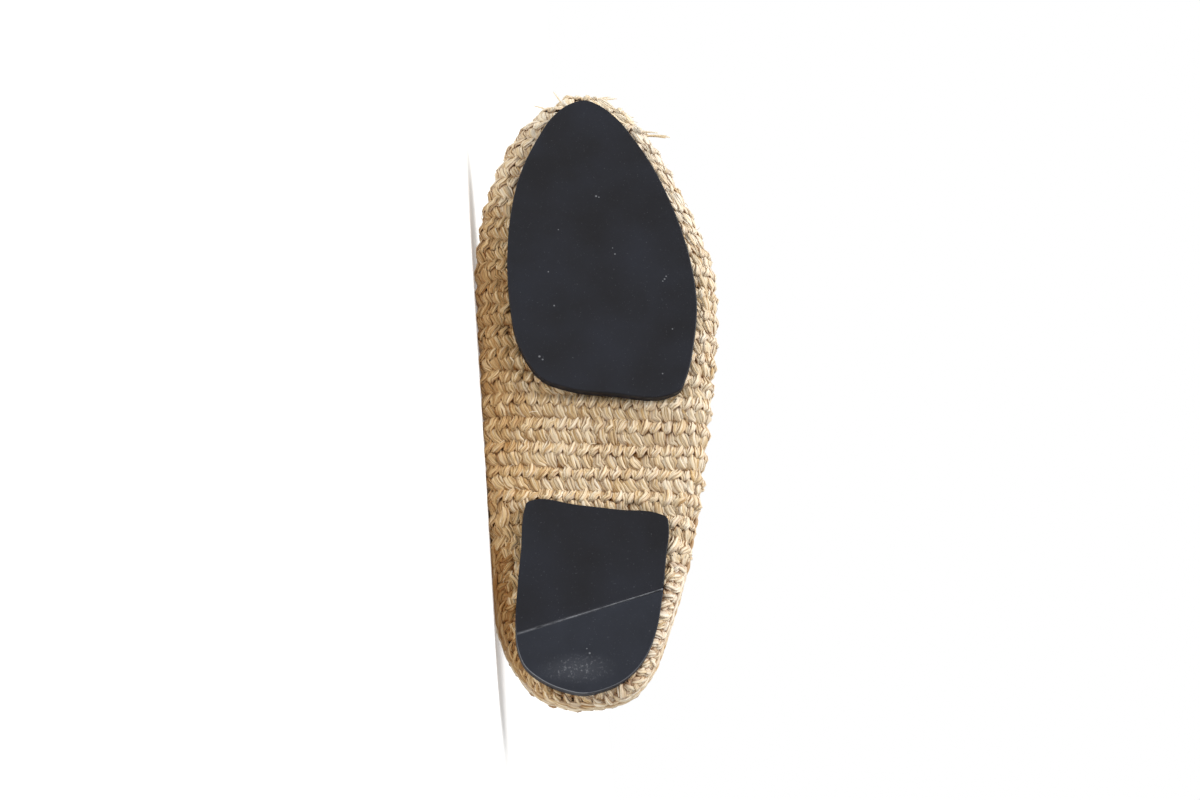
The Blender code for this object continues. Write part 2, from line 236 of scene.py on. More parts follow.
SKIN = make_skin()


def run_at(along):
    """Length run over the skin from the heel's end."""
    return np.interp(along, SKIN.along, SKIN.run)


def along_at(run):
    """Place along the shoe at a length run over the skin."""
    return np.interp(run, SKIN.run, SKIN.along)


def read_grid(grid, along, around):
    """Values between a grid's points.

    around is a share of the way from the underside's middle to the top line, negative on the inner side.
    """
    around = np.where(around > 1, around - 2, np.where(around < -1, around + 2, around))
    row = np.interp(along, SKIN.along, np.arange(GRID_ROWS))
    column = (around + 1) / 2 * (len(SKIN.around) - 1)
    i = np.minimum(row.astype(int), GRID_ROWS - 2)
    j = np.minimum(column.astype(int), len(SKIN.around) - 2)
    u, v = (row - i)[..., None], (column - j)[..., None]
    near = grid[i, j] * (1 - v) + grid[i, j + 1] * v
    far = grid[i + 1, j] * (1 - v) + grid[i + 1, j + 1] * v
    return near * (1 - u) + far * u


def on_skin(along, around, out=0.0):
    """Points of the standing shoe at a distance out from the skin."""
    lift = np.broadcast_to(np.asarray(out, float), np.shape(along))[..., None]
    return read_grid(SKIN.points, along, around) + lift * read_grid(SKIN.normals, along, around)


def around_at_height(along, side, height):
    """Share of the way to the top line at which one side's wall reaches a height."""
    half = SKIN.around[SKIN.around * side >= 0]
    half = half if side == OUTER else half[::-1]
    found = []
    for a, h in zip(along, np.broadcast_to(height, np.shape(along))):
        ups = read_grid(SKIN.points, np.full(len(half), a), half)[:, 2]
        found.append(np.interp(h, np.maximum.accumulate(ups) + np.arange(len(ups)) * TINY, half))
    return np.array(found)


EDGE_STATIONS = eased(0.0, THROAT_AT, math.pi * np.linspace(0, 1, COLLAR_POINTS))


def edge_table(side):
    """Where the collar or rim cuts one side's wall off, at the stations up to the throat."""
    around = around_at_height(EDGE_STATIONS, side, collar_height(EDGE_STATIONS, side))
    around[-1] = side
    return np.abs(around)


EDGE_AROUND = {side: edge_table(side) for side in SIDES}


def by_side(around, values):
    """Of two values, the one for the side that each place is on."""
    return np.where(around < 0, values[INNER], values[OUTER])


def edge_around(along, around):
    """Share of the way to the top line at which the wall ends, on the side of around; 1 past the throat."""
    return by_side(around, {side: np.interp(along, EDGE_STATIONS, EDGE_AROUND[side]) for side in SIDES})


# Outlines of the pads

OUTLINE_STEPS = 8
OUTLINE_WRAP = 3


def closed_curve(outline):
    """Smooth closed curve in mm through an outline given in percent."""
    knots = np.array(outline) * PERCENT
    wrapped = np.vstack((knots[-OUTLINE_WRAP:], knots, knots[: OUTLINE_WRAP + 1]))
    run = run_of(wrapped)
    steps = np.arange(OUTLINE_STEPS) / OUTLINE_STEPS
    spans = range(OUTLINE_WRAP, OUTLINE_WRAP + len(knots))
    at = np.concatenate([run[i] + steps * (run[i + 1] - run[i]) for i in spans])
    return smooth_line(at, run, wrapped)


FOREFOOT = closed_curve(FOREFOOT_OUTLINE)
HEEL = closed_curve(HEEL_OUTLINE)


def depth_inside(outline, points):
    """How deep plan points lie inside a closed outline, mm; negative outside it."""
    after = np.roll(outline, -1, axis=0)
    x, y = points[:, None, 0], points[:, None, 1]
    spans = (outline[:, 1] > y) != (after[:, 1] > y)
    rise = np.where(after[:, 1] == outline[:, 1], TINY, after[:, 1] - outline[:, 1])
    slope = (after[:, 0] - outline[:, 0]) / rise
    crossings = (spans & (x < outline[:, 0] + (y - outline[:, 1]) * slope)).sum(axis=1)
    nearest = np.sqrt(((points[:, None] - outline) ** 2).sum(axis=2)).min(axis=1)
    return np.where(crossings % 2 == 1, nearest, -nearest)


# Materials


def linear(code):
    """Linear RGBA of an sRGB hex colour."""
    shares = [int(code[i : i + 2], 16) / 255 for i in (1, 3, 5)]
    return (*[s / 12.92 if s <= 0.04045 else ((s + 0.055) / 1.055) ** 2.4 for s in shares], 1.0)


def node(material, kind, inputs=None, stops=(), **settings):
    """Adds a shader node with its settings; an input is a value, or another node and its output's name.

    kind is its type's name after "ShaderNode", and stops are a colour ramp's (place, hex colour) pairs.
    """
    tree = material.node_tree
    made = tree.nodes.new("ShaderNode" + kind)
    for name, value in settings.items():
        setattr(made, name, value)
    for socket, source in (inputs or {}).items():
        if isinstance(source, tuple) and isinstance(source[0], bpy.types.Node):
            tree.links.new(source[0].outputs[source[1]], made.inputs[socket])
        else:
            made.inputs[socket].default_value = source
    for i, (place, code) in enumerate(stops):
        stop = made.color_ramp.elements[i] if i < 2 else made.color_ramp.elements.new(place)
        stop.position = place
        stop.color = linear(code)
    return made


def new_material(name):
    """A material with an empty node tree."""
    material = bpy.data.materials.new(name)
    material.use_nodes = True
    material.node_tree.nodes.clear()
    return material


def raffia_material():
    """Dried palm leaf, torn in ribbons and crocheted: satin, streaked along its fibres, with painted shade
    brown in its crevices.
    """
    material = new_material("crocheted_raffia")
    fibre, tint, shade = [
        node(material, "Attribute", attribute_name=name) for name in ("fibre", "tint", "shade")
    ]
    # Real fibres are 0.1 mm apart; lines 0.4 mm apart and 7 mm long show in the render
    lines = node(material, "Mapping", {"Vector": (fibre, "Vector"), "Scale": (1 / 0.4, 1 / 7.0, 1.0)})
    streak = node(material, "TexNoise", {"Vector": (lines, "Vector"), "Scale": 1.0, "Detail": 3.0})
    spread = node(
        material, "MapRange",
        {"Value": (streak, "Fac"), "From Min": 0.3, "From Max": 0.7, "To Min": -0.3, "To Max": 0.3},
    )
    tone = node(material, "Math", {0: (tint, "Fac"), 1: (spread, "Result")}, operation="ADD")
    leaf = node(
        material, "ValToRGB", {"Fac": (tone, "Value")},
        ((0.0, "#A4783F"), (0.35, "#D1B17E"), (0.6, "#EAD6B3"), (1.0, "#FAF1DF")),
    )
    # Painted shade: where the shade attribute is low, in crevices, at strands' edges and undersides and at
    # stitches' feet, the colour turns dark brown
    deep = node(
        material, "MapRange",
        {"Value": (shade, "Fac"), "From Min": 0.0, "From Max": 1.0, "To Min": 1.0, "To Max": 0.0},
        interpolation_type="SMOOTHSTEP",
    )
    colour = node(
        material, "Mix",
        {"Factor": (deep, "Result"), "A": (leaf, "Color"), "B": linear("#824804")}, data_type="RGBA",
    )
    bump = node(material, "Bump", {"Height": (streak, "Fac"), "Strength": 0.55, "Distance": 0.25 * MM})
    shader = node(material, "BsdfPrincipled", {
        "Base Color": (colour, "Result"), "Roughness": 0.52, "IOR": 1.45, "Specular IOR Level": 0.35,
        "Sheen Weight": 0.08, "Sheen Roughness": 0.5, "Normal": (bump, "Normal"),
    })
    node(material, "OutputMaterial", {"Surface": (shader, "BSDF")})
    return material


RAFFIA = raffia_material()


# Meshes


def ring_quads(sides, rings):
    """Faces of a closed tube of rings, with its two ends filled."""
    index = np.arange(rings * sides).reshape(rings, sides)
    beside = np.roll(index, -1, axis=1)
    walls = np.stack((index[:-1], beside[:-1], beside[1:], index[1:]), axis=-1).reshape(-1, 4)
    fans = [(0, i, i + 1, i + 2) for i in range(1, sides - 2, 2)]
    first = [index[0, list(fan[::-1])] for fan in fans]
    last = [index[-1, list(fan)] for fan in fans]
    return np.vstack((walls, first, last))


def shell_faces(index):
    """Faces of a closed shell: a grid of point numbers, a copy of it in later points, and the rim."""
    count = index.size
    corners = (index[:-1, :-1], index[:-1, 1:], index[1:, 1:], index[1:, :-1])
    quads = np.stack(corners, axis=-1).reshape(-1, 4).tolist()
    edges = {(a, b) for quad in quads for a, b in zip(quad, quad[1:] + quad[:1])}
    rim = [(b, a, a + count, b + count) for a, b in edges if (b, a) not in edges and a != b]
    near = [tuple(dict.fromkeys(quad)) for quad in quads]
    far = [tuple(i + count for i in reversed(face)) for face in near]
    return near + far + rim


def mesh_object(name, points, faces, material):
    """A mesh object in metres, made from arrays."""
    mesh = bpy.data.meshes.new(name)
    mesh.from_pydata(np.asarray(points).tolist(), [], [tuple(face) for face in faces])
    mesh.materials.append(material)
    made = bpy.data.objects.new(name, mesh)
    bpy.context.scene.collection.objects.link(made)
    return made


def mesh_piece(name, points, faces, material):
    """A smooth mesh object that rides on the shoe."""
    piece = mesh_object(name, points, faces, material)
    piece.data.shade_smooth()
    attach(piece, "root")
    return piece


def set_attribute(piece, name, kind, values):
    """Stores a value for each point of a piece, for its material."""
    field = "vector" if kind == "FLOAT_VECTOR" else "value"
    made = piece.data.attributes.new(name, kind, "POINT")
    made.data.foreach_set(field, np.asarray(values, np.float32).ravel())


# Strands and stitches

# Sides and rings of a strand: on the edges, on the wall's inside, in a ribbon and in a loose end
FINE, COARSE, RIBBON, LOOSE = (10, 7), (6, 6), (8, 6), (6, 8)
VARIANTS = 16
WALL_OUT = (0.0, 0.0, 1.0)
# A strand's least width, mm, least share of its thickness, flatness, and how far it rolls, in radians
THINNEST, LEAST_THICK, FLATNESS, ROLL = 0.1, 0.35, 0.6, 0.16
# How far its sides stray, how deep its grooves and ribs are, as shares, how uneven that is, and how much of
# it shows in the strand's width and thickness
SIDE_STRAY, GROOVES, RIBS = 0.25, (0.12, 0.40), (-0.08, 0.04)
DENT_NOISE, DENT_WIDE, DENT_TALL = 0.03, 0.6, 1.6
# Fibre coordinates run this many times its width and thickness round it
GIRTH = 1.5
# Painted light of a strand: how it falls off towards the edges, its share underneath and its loss to painted
# shade in a groove
PAINTED_LIGHT_FALL, PAINTED_LIGHT_UNDER, GROOVE_PAINTED_SHADE = 0.8, 0.75, 1.1
# How ribbons lie in a strand: shares of its width they spread over and are widened by, how far the outer
# ones drop, how ragged they are, mm, and how dark painted shade makes their edges
RIBBON_SPREAD, RIBBON_LAP, RIBBON_DROP, RIBBON_RAGGED, RIBBON_PAINTED_EDGE_SHADE = 0.84, 1.45, 1.25, 0.12, 0.85
# Stitches differ along, across and out in these proportions, in size and in colour, strand and whole
STRAY, SIZE_SPREAD, STRAND_TINT, STITCH_TINT = (1, 1, 0.6), 0.07, 0.04, 0.045
# Each strand's streaks are read from one of this many places in the noise
STREAK_PLACES = 900
# Height over which a stitch comes out of its painted shade, mm, and how lit its foot is painted
STITCH_RISE, FOOT_PAINTED_LIT = 2.0, 0.25

RNG = np.random.default_rng(417)


def raffia_strand(path, widths, thickness, sides, rings, grooved=1.0):
    """One folded strand: rings round a smooth path in mm, fibre coordinates and how lit each point is
    painted.
    """
    knots = np.linspace(0, 1, len(path))
    at = np.linspace(0, 1, rings)
    centre = smooth_line(at, knots, np.array(path, float))
    width = np.maximum(smooth(at, knots, widths), THINNEST)
    thick = thickness * np.clip(width / max(widths), LEAST_THICK, 1.0)
    forward = unit(np.gradient(centre, axis=0))
    level = unit(np.cross(forward, WALL_OUT))
    upright = np.cross(level, forward)
    roll = RNG.normal(0, ROLL)
    side = level * math.cos(roll) + upright * math.sin(roll)
    lift = upright * math.cos(roll) - level * math.sin(roll)
    corner = np.arange(sides) + 0.5 + RNG.uniform(-SIDE_STRAY, SIDE_STRAY, sides)
    turn = 2 * math.pi * corner / sides - math.pi / 2
    is_groove = np.arange(sides) % 2 == 1
    depth = grooved * np.where(is_groove, RNG.uniform(*GROOVES, sides), RNG.uniform(*RIBS, sides))
    dent = depth[None] + RNG.normal(0, DENT_NOISE, (rings, sides))
    flat = (width / 2)[:, None] * np.cos(turn) * (1 - DENT_WIDE * dent)
    facing = np.sin(turn)
    tall = (thick / 2)[:, None] * np.sign(facing) * np.abs(facing) ** FLATNESS * (1 - DENT_TALL * dent)
    points = centre[:, None] + side[:, None] * flat[..., None] + lift[:, None] * tall[..., None]
    fibre = np.empty((rings, sides, 2))
    fibre[..., 0] = np.arange(sides) / sides * GIRTH * (max(widths) + thickness)
    fibre[..., 1] = run_of(centre)[:, None]
    # Painted shade: darker towards the strand's edges, underneath and in its grooves
    light = np.abs(facing) ** PAINTED_LIGHT_FALL * np.where(facing < 0, PAINTED_LIGHT_UNDER, 1.0)
    light = light - GROOVE_PAINTED_SHADE * np.maximum(dent, 0.0)
    return points.reshape(-1, 3), fibre.reshape(-1, 2), light.ravel()


def torn(path, widths, thickness, count):
    """A strand's path and widths torn lengthwise into ribbons, which lie side by side and overlap."""
    aside = unit(np.cross(np.gradient(path, axis=0), WALL_OUT))
    for share in (np.arange(count) + 0.5) / count - 0.5:
        ribbon = path + aside * (share * RIBBON_SPREAD * np.array(widths))[:, None]
        ribbon[:, 2] -= RIBBON_DROP * thickness * abs(share)
        yield ribbon + RNG.normal(0, RIBBON_RAGGED, path.shape), np.array(widths) / count * RIBBON_LAP


def stitch_kind(strands, fineness=FINE, ribbons=None, stray=0.2, turn=0.12, least_shade=0.0, grooved=1.0):
    """Variants of a stitch: points, fibre coordinates and painted light of its strands, from their paths.

    ribbons says into how many ribbons each strand is torn, stray how far its paths vary, mm, and turn how far
    stitches are turned, in radians.
    """
    ribbons = ribbons or (1,) * len(strands)
    kinds = []
    for _ in range(VARIANTS):
        made = []
        for (path, widths, thickness, _tint), count in zip(strands, ribbons):
            moved = np.array(path) + RNG.normal(0, stray, (len(path), 3)) * STRAY
            if count == 1:
                made.append(raffia_strand(moved, widths, thickness, *fineness, grooved))
                continue
            for ribbon, wide in torn(moved, widths, thickness, count):
                points, fibre, light = raffia_strand(ribbon, wide, thickness, *fineness, grooved)
                made.append((points, fibre, 1 - RIBBON_PAINTED_EDGE_SHADE * (1 - light)))
        kinds.append([np.concatenate(parts) for parts in zip(*made)])
    points, fibres, lights = (np.array(parts) for parts in zip(*kinds))
    return SimpleNamespace(
        points=points, fibres=fibres, lights=lights, turn=turn, least_shade=least_shade,
        tints=np.repeat([strand[3] for strand in strands], ribbons), strands=sum(ribbons),
        strand_points=fineness[0] * fineness[1], quads=ring_quads(*fineness),
    )


# Stitches: for each strand its path, its width at each point of that and its thickness, all mm, and how pale
# it is. x runs along the row, y towards the toe or the free edge, z out from the wall.
TUFT = (
    (((-0.6, -3.0, 1.5), (-0.05, -1.7, 2.0), (0.7, -0.2, 2.05),
      (1.25, 1.2, 1.8), (1.55, 2.5, 1.3), (1.7, 3.4, 0.4)),
     (2.1, 3.0, 3.3, 3.2, 2.8, 2.0), 1.4, 0.58),
    (((-0.95, -2.9, 1.25), (-1.15, -1.6, 1.65), (-1.3, -0.1, 1.75),
      (-1.25, 1.2, 1.5), (-1.1, 2.4, 1.1), (-1.0, 3.3, 0.3)),
     (1.8, 2.4, 2.6, 2.4, 2.2, 1.6), 1.4, 0.50),
)
LEAF = (
    (((-2.3, 3.8, 0.2), (-2.75, 2.6, 0.95), (-2.75, 1.1, 1.5),
      (-1.9, -0.5, 1.65), (-0.7, -1.9, 1.4), (0.5, -3.3, 0.5)),
     (2.2, 3.9, 5.1, 4.9, 3.6, 1.6), 1.4, 0.54),
    (((-4.4, 0.0, 0.4), (-4.2, -1.0, 0.75), (-3.7, -2.0, 0.75), (-3.0, -3.0, 0.2)),
     (1.6, 2.5, 2.6, 1.8), 1.2, 0.34),
)
KNOT = (
    (((1.5, -2.1, 0.1), (0.8, -0.9, 0.7), (-0.3, 0.6, 0.85), (-1.3, 2.0, 0.2)),
     (1.8, 2.7, 2.7, 1.8), 1.2, 0.51),
    (((-1.5, -2.2, 0.3), (-0.7, -0.9, 1.15), (0.5, 0.5, 1.2), (1.4, 1.9, 0.4)),
     (1.9, 3.0, 3.0, 1.9), 1.3, 0.57),
)
CORD = (
    (((-3.5, -0.5, 0.4), (-1.2, -0.2, 0.8), (1.0, 0.1, 0.8), (3.5, 0.4, 0.4)),
     (1.4, 2.1, 2.1, 1.4), 1.5, 0.62),
    (((-3.5, 0.2, 0.2), (-1.2, 0.6, 0.6), (1.0, 0.85, 0.6), (3.5, 1.1, 0.1)),
     (1.0, 1.6, 1.6, 1.0), 1.3, 0.56),
)
CHAIN = (
    (((-2.8, -0.1, 0.1), (-1.1, 0.75, 1.0), (0.65, 1.55, 1.05), (2.2, 2.0, 0.1), (2.9, 1.9, -0.8)),
     (1.2, 2.3, 2.6, 2.2, 1.0), 1.6, 0.54),
    (((-2.8, 0.1, 0.0), (-1.0, -0.75, 0.95), (0.8, -1.55, 1.0), (2.3, -2.0, 0.1), (2.9, -1.9, -0.8)),
     (1.2, 2.3, 2.6, 2.2, 1.0), 1.6, 0.54),
)
# How many ribbons each strand is torn into
TUFT_RIBBONS, LEAF_RIBBONS, KNOT_RIBBONS = (3, 2), (4, 1), (2, 3)


def scatter(kind, count):
    """Many stitches of a kind, each a variant a little turned and resized, as arrays with a row for each."""
    pick = RNG.integers(0, VARIANTS, count)
    angle = RNG.normal(0, kind.turn, (count, 1))
    local = kind.points[pick] * RNG.normal(1, SIZE_SPREAD, (count, 1, 1))
    strand_tint = kind.tints + RNG.normal(0, STRAND_TINT, (count, kind.strands))
    strand_tint = strand_tint + RNG.normal(0, STITCH_TINT, (count, 1))
    seed = np.repeat(RNG.uniform(0, STREAK_PLACES, (count, kind.strands)), kind.strand_points, axis=1)
    return {
        "x": local[..., 0] * np.cos(angle) - local[..., 1] * np.sin(angle),
        "y": local[..., 0] * np.sin(angle) + local[..., 1] * np.cos(angle),
        "z": local[..., 2],
        "tint": np.repeat(strand_tint, kind.strand_points, axis=1),
        "fibre": np.concatenate((kind.fibres[pick], seed[..., None]), axis=2),
        "light": kind.lights[pick],
    }


def new_bag():
    """Arrays of stitches that become one mesh."""
    return {name: [] for name in ("points", "quads", "fibre", "tint", "shade")}


def gather(bag, kind, points, stitches, flip=False):
    """Adds stitches, with their points on the standing shoe, to a bag."""
    quads = kind.quads[:, ::-1] if flip else kind.quads
    start = sum(len(p) for p in bag["points"])
    offsets = start + np.arange(len(points) * kind.strands)[:, None, None] * kind.strand_points
    bag["points"].append(points.reshape(-1, 3))
    bag["quads"].append((quads[None] + offsets).reshape(-1, 4))
    bag["fibre"].append(stitches["fibre"].reshape(-1, 3))
    bag["tint"].append(stitches["tint"].ravel())
    # Painted shade: darker towards each stitch's foot and where its strands are painted dark
    height = np.clip(FOOT_PAINTED_LIT + stitches["z"] / STITCH_RISE, 0.0, 1.0)
    bag["shade"].append(np.clip(height * stitches["light"], kind.least_shade, 1.0).ravel())


def crochet_piece(name, bag):
    """One mesh of all the stitches in a bag."""
    points = to_world(np.concatenate(bag["points"]))
    piece = mesh_piece(name, points, np.concatenate(bag["quads"]).tolist(), RAFFIA)
    set_attribute(piece, "fibre", "FLOAT_VECTOR", np.concatenate(bag["fibre"]))
    set_attribute(piece, "tint", "FLOAT", np.concatenate(bag["tint"]))
    set_attribute(piece, "shade", "FLOAT", np.concatenate(bag["shade"]))
    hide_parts("upper")


# Rows across the shoe

# Distances between stitches, rows and pairs of rows, and a place along where a groove parts two pairs, mm
STITCH_PITCH, ROW_PITCH, FIRST_GROOVE = 4.4, 4.75, 107.7
PAIR = 2 * ROW_PITCH
LEAST_STITCHES = 3
# Where the first and the last row lie along, and where the rows of the sides begin and how low the band round
# the heel reaches behind that, mm
REAR_ROW, LAST_ROW = 7.0, 249.3
SIDE_ROWS_FROM = {INNER: 55.0, OUTER: 49.0}
HEEL_BAND_FOOT = 4.6
# Stitches this deep under a pad's edge, mm, on skin that faces down at least this much, don't show
PAD_COVER, FACING_DOWN = 4.0, -0.5
# How far a pair of rows swells out and stitches sink in, mm
RIDGE, SINK = 0.8, 1.75
# Shares round the shoe where the sides begin; there pairs swell less and stitches are pressed to their middle
SIDE_FROM, SIDE_TO = 0.32, 0.55
SIDE_CALM, SIDE_PRESS, STITCH_MIDDLE = 0.7, 0.42, 1.3
# Fuller towards the toe's end, mm, from this place along, and with less painted shade
TOE_FULL, TOE_FULL_FROM, TOE_LESS_PAINTED_SHADE = 1.3, 228.0, 0.5
# Paler towards the toe, from and to these places along, mm, and by how much
TOE_PALE_FROM, TOE_PALE_TO, TOE_PALE = 165.0, 215.0, 0.13
# Painted shade makes the inner side darker and browner, painted light makes the outer side paler and lifts
# its painted shade, between these shares round the shoe
INNER_PAINTED_SHADE, OUTER_PAINTED_LIGHT, OUTER_LESS_PAINTED_SHADE = 0.54, 0.22, 0.25
SHADE_FROM, SHADE_TO, SHADE_FADE = 0.12, 0.5, 0.45
# Rows wave to and fro, mm, by this many radians round each half; stitches stray from them, mm, and pairs
# along them, as a share of a stitch
ROW_WAVE, WAVES_ROUND, ROW_STRAY, PAIR_STRAY = 0.3, 11.0, 0.16, 0.06
# Run over which a row's step is measured, mm
STEP_REACH = 2.0
# At the collar, mm: room left free, how far ahead that is looked for, and how far ends are tucked under it
EDGE_MARGIN, EDGE_REACH, EDGE_TUCK = 0.4, 1.0, 0.8
# The inside is crocheted between these places along and above this height, mm
INSIDE_FROM, INSIDE_TO, INSIDE_FLOOR = 70.0, 200.0, 12.0
# Where the underside's pieces end round the shoe, as a share, and part along it, mm
UNDERSIDE, UNDERSIDE_PART = 0.45, 120


def on_side(around):
    """0 on the underside, 1 on the sides and the vamp."""
    return np.clip((np.abs(around) - SIDE_FROM) / (SIDE_TO - SIDE_FROM), 0.0, 1.0)


def ridge_at(from_middle, around):
    """How far each pair of rows swells out, from mm past the pair's middle; less on the sides."""
    return RIDGE * (1 - SIDE_CALM * on_side(around)) * np.cos(2 * math.pi * from_middle / PAIR)


def body_rows():
    """Rows of the body, in pairs of a leaf row and a tuft row.

    step is mm along per mm of run, offset is mm from the pair's middle, and middle is that place along.
    """
    start = run_at(FIRST_GROOVE)
    first = math.floor((run_at(REAR_ROW) - start) / PAIR)
    last = math.ceil((run_at(LAST_ROW) - start) / PAIR)
    rows = []
    for pair in range(first, last):
        middle = along_at(start + (pair + 0.5) * PAIR)
        shift = 0.5 * (pair % 2) + RNG.normal(0, PAIR_STRAY)
        wave = RNG.uniform(0, 2 * math.pi)
        for is_tuft, share in ((False, 0.25), (True, 0.75)):
            run = start + (pair + share) * PAIR
            along = along_at(run)
            if run < SKIN.run[-1] and REAR_ROW < along < LAST_ROW:
                step = (along_at(run + STEP_REACH) - along_at(run - STEP_REACH)) / (2 * STEP_REACH)
                rows.append(SimpleNamespace(
                    along=along, step=step, offset=(share - 0.5) * PAIR, is_tuft=is_tuft,
                    middle=middle, shift=shift, wave=wave,
                ))
    return rows


ROWS = body_rows()


def row_places(row):
    """Even places of a row's stitches round the shoe, and shares per mm there, within the collar's edges."""
    girth = {side: np.interp(row.along, SKIN.along, SKIN.girth[side]) for side in SIDES}
    whole = girth[INNER] + girth[OUTER]
    pair_girth = sum(np.interp(row.middle, SKIN.along, SKIN.girth[side]) for side in SIDES)
    count = max(round(pair_girth / STITCH_PITCH), LEAST_STITCHES)
    run = -girth[INNER] + (np.arange(count) + row.shift) * whole / count
    own_girth = by_side(run, girth)
    around = run / own_girth
    per_mm = 1 / own_girth * (whole / count) / STITCH_PITCH
    ahead = row.along + EDGE_REACH
    free = (np.abs(around) < edge_around(ahead, around) - EDGE_MARGIN / own_girth) | (ahead > THROAT_AT)
    return around[free], per_mm[free]


def hidden_by_pads(along, around):
    """Stitches of the underside that a rubber pad covers."""
    below = read_grid(SKIN.normals, along, around)[:, 2] < FACING_DOWN
    plan = on_skin(along, around)[:, :2]
    deep = np.maximum(depth_inside(FOREFOOT, plan), depth_inside(HEEL, plan))
    return below & (deep > PAD_COVER)


def shade_by_side(stitches, side):
    """Paints shade on the inner side's stitches and light on the outer side's, from -1 on the inner side to 1
    on the outer side.
    """
    stitches["tint"] = stitches["tint"] + np.where(side < 0, INNER_PAINTED_SHADE, OUTER_PAINTED_LIGHT) * side
    stitches["light"] = stitches["light"] + OUTER_LESS_PAINTED_SHADE * np.maximum(side, 0.0) * (1 - stitches["light"])


def lay_rows(kind, want_tuft, inside):
    """Lays every stitch of one kind on the wall; returns their points, places and arrays."""
    table = []
    for row in ROWS:
        if row.is_tuft == want_tuft:
            places, wide = row_places(row)
            shared = np.tile((row.along, row.step, row.offset, row.wave), (len(places), 1))
            table.append(np.column_stack((shared, places, wide)))
    table = np.vstack(table)
    along, around = table[:, 0], table[:, 4]
    if inside:
        up = on_skin(along, around, -WALL)[:, 2]
        keep = (along > INSIDE_FROM) & (along < INSIDE_TO) & (up > INSIDE_FLOOR)
    else:
        in_band = (along < by_side(around, SIDE_ROWS_FROM)) & (on_skin(along, around)[:, 2] > HEEL_BAND_FOOT)
        keep = ~hidden_by_pads(along, around) & ~in_band
    along, step, offset, wave, around, per_mm = table[keep].T[..., None]
    stitches = scatter(kind, len(along))
    y = stitches["y"] + RNG.normal(0, ROW_STRAY, (len(along), 1))
    y = y + ROW_WAVE * np.sin(WAVES_ROUND * around + wave)
    at_along = along + y * step
    at_around = around + (-1 if inside else 1) * stitches["x"] * per_mm
    edge = edge_around(at_along, at_around) - EDGE_TUCK * np.abs(per_mm)
    past = (at_along < THROAT_AT) & (np.abs(at_around) > edge)
    at_around = np.where(past, np.sign(at_around) * edge, at_around)
    pressed = STITCH_MIDDLE + (stitches["z"] - STITCH_MIDDLE) * (1 - SIDE_PRESS * on_side(around))
    full = np.clip((along - TOE_FULL_FROM) / (LENGTH - TOE_FULL_FROM), 0.0, 1.0)
    out = pressed - SINK + ridge_at(offset + y, around) + TOE_FULL * full
    # Painted shade on the inner side and painted light on the outer side, fading out towards the underside's
    # middle, the top line and, on the inner side, the toe
    from_middle = np.clip((np.abs(around) - SHADE_FROM) / (SHADE_TO - SHADE_FROM), 0.0, 1.0)
    to_top = np.clip((1 - np.abs(around)) / SHADE_FADE, 0.0, 1.0)
    at_toe = np.clip((along - TOE_PALE_FROM) / (TOE_PALE_TO - TOE_PALE_FROM), 0.0, 1.0)
    shade_by_side(stitches, from_middle * to_top * np.where(around < 0, at_toe - 1, 1.0))
    stitches["tint"] = stitches["tint"] + TOE_PALE * at_toe
    stitches["light"] = stitches["light"] + TOE_LESS_PAINTED_SHADE * full * (1 - stitches["light"])
    points = on_skin(at_along, at_around, -WALL - out if inside else out)
    return points, along[:, 0], around[:, 0], stitches


REGIONS = {
    "crochet_underside_front":
        lambda along, around: (np.abs(around) < UNDERSIDE) & (along > UNDERSIDE_PART),
    "crochet_underside_rear":
        lambda along, around: (np.abs(around) < UNDERSIDE) & (along <= UNDERSIDE_PART),
    "crochet_inner_side": lambda along, around: around <= -UNDERSIDE,
    "crochet_outer_side": lambda along, around: around >= UNDERSIDE,
}


def make_body():
    """Crochet of the body's outside, in pieces by region, and of its inside."""
    bags = {name: new_bag() for name in REGIONS}
    inside = new_bag()
    for strands, ribbons, want_tuft in ((LEAF, LEAF_RIBBONS, False), (TUFT, TUFT_RIBBONS, True)):
        kind = stitch_kind(strands, RIBBON, ribbons)
        points, along, around, stitches = lay_rows(kind, want_tuft, inside=False)
        for name, within in REGIONS.items():
            keep = within(along, around)
            gather(bags[name], kind, points[keep], {field: stitches[field][keep] for field in stitches})
        kind = stitch_kind(strands, COARSE)
        points, along, around, stitches = lay_rows(kind, want_tuft, inside=True)
        gather(inside, kind, points, stitches)
    for name, bag in bags.items():
        crochet_piece(name, bag)
    crochet_piece("crochet_inside", inside)


# Edging along the rim and the collar

# Points of a path on each side, its even steps, and points of the underside at the heel's end
PATH_POINTS, EDGE_STEPS, NOSE_STEPS = 120, 500, 60
# The braid over the edge: its level and how far it sinks in, mm, and the share of its width that is used
EDGE_TOP, BRAID_SINK, BRAID_WIDTH = -0.2, 0.6, 0.95
# Rows round the heel: stitch, height on the inner and the outer side, pitch and how far they stand out, mm
HEEL_ROWS = (
    ("knot", 4.7, 4.9, 3.7, -1.1), ("knot", 6.0, 6.9, 3.7, -1.1), ("cord", 7.6, 8.6, 4.4, -0.8),
    ("cord", 9.2, 10.0, 4.4, -0.7), ("cord", 10.8, 11.4, 4.4, -0.7), ("cord", 12.3, 12.7, 4.4, -0.8),
)
# Where those rows end, over what length they come down to the inner height, mm, and how fast their painted
# shade turns to painted light
HEEL_ROWS_END = {INNER: 58.0, OUTER: 52.0}
HEEL_TURN = 30.0
HEEL_SHADING = 1.6
# Cords along the collar: how far below its edge and how far out, mm
COLLAR_CORDS = (1.7, 3.2)
COLLAR_CORD_OUT = -0.6
# Where a row's first stitch may lie, as a share of a pitch
FIRST_STITCH = (0.3, 0.7)


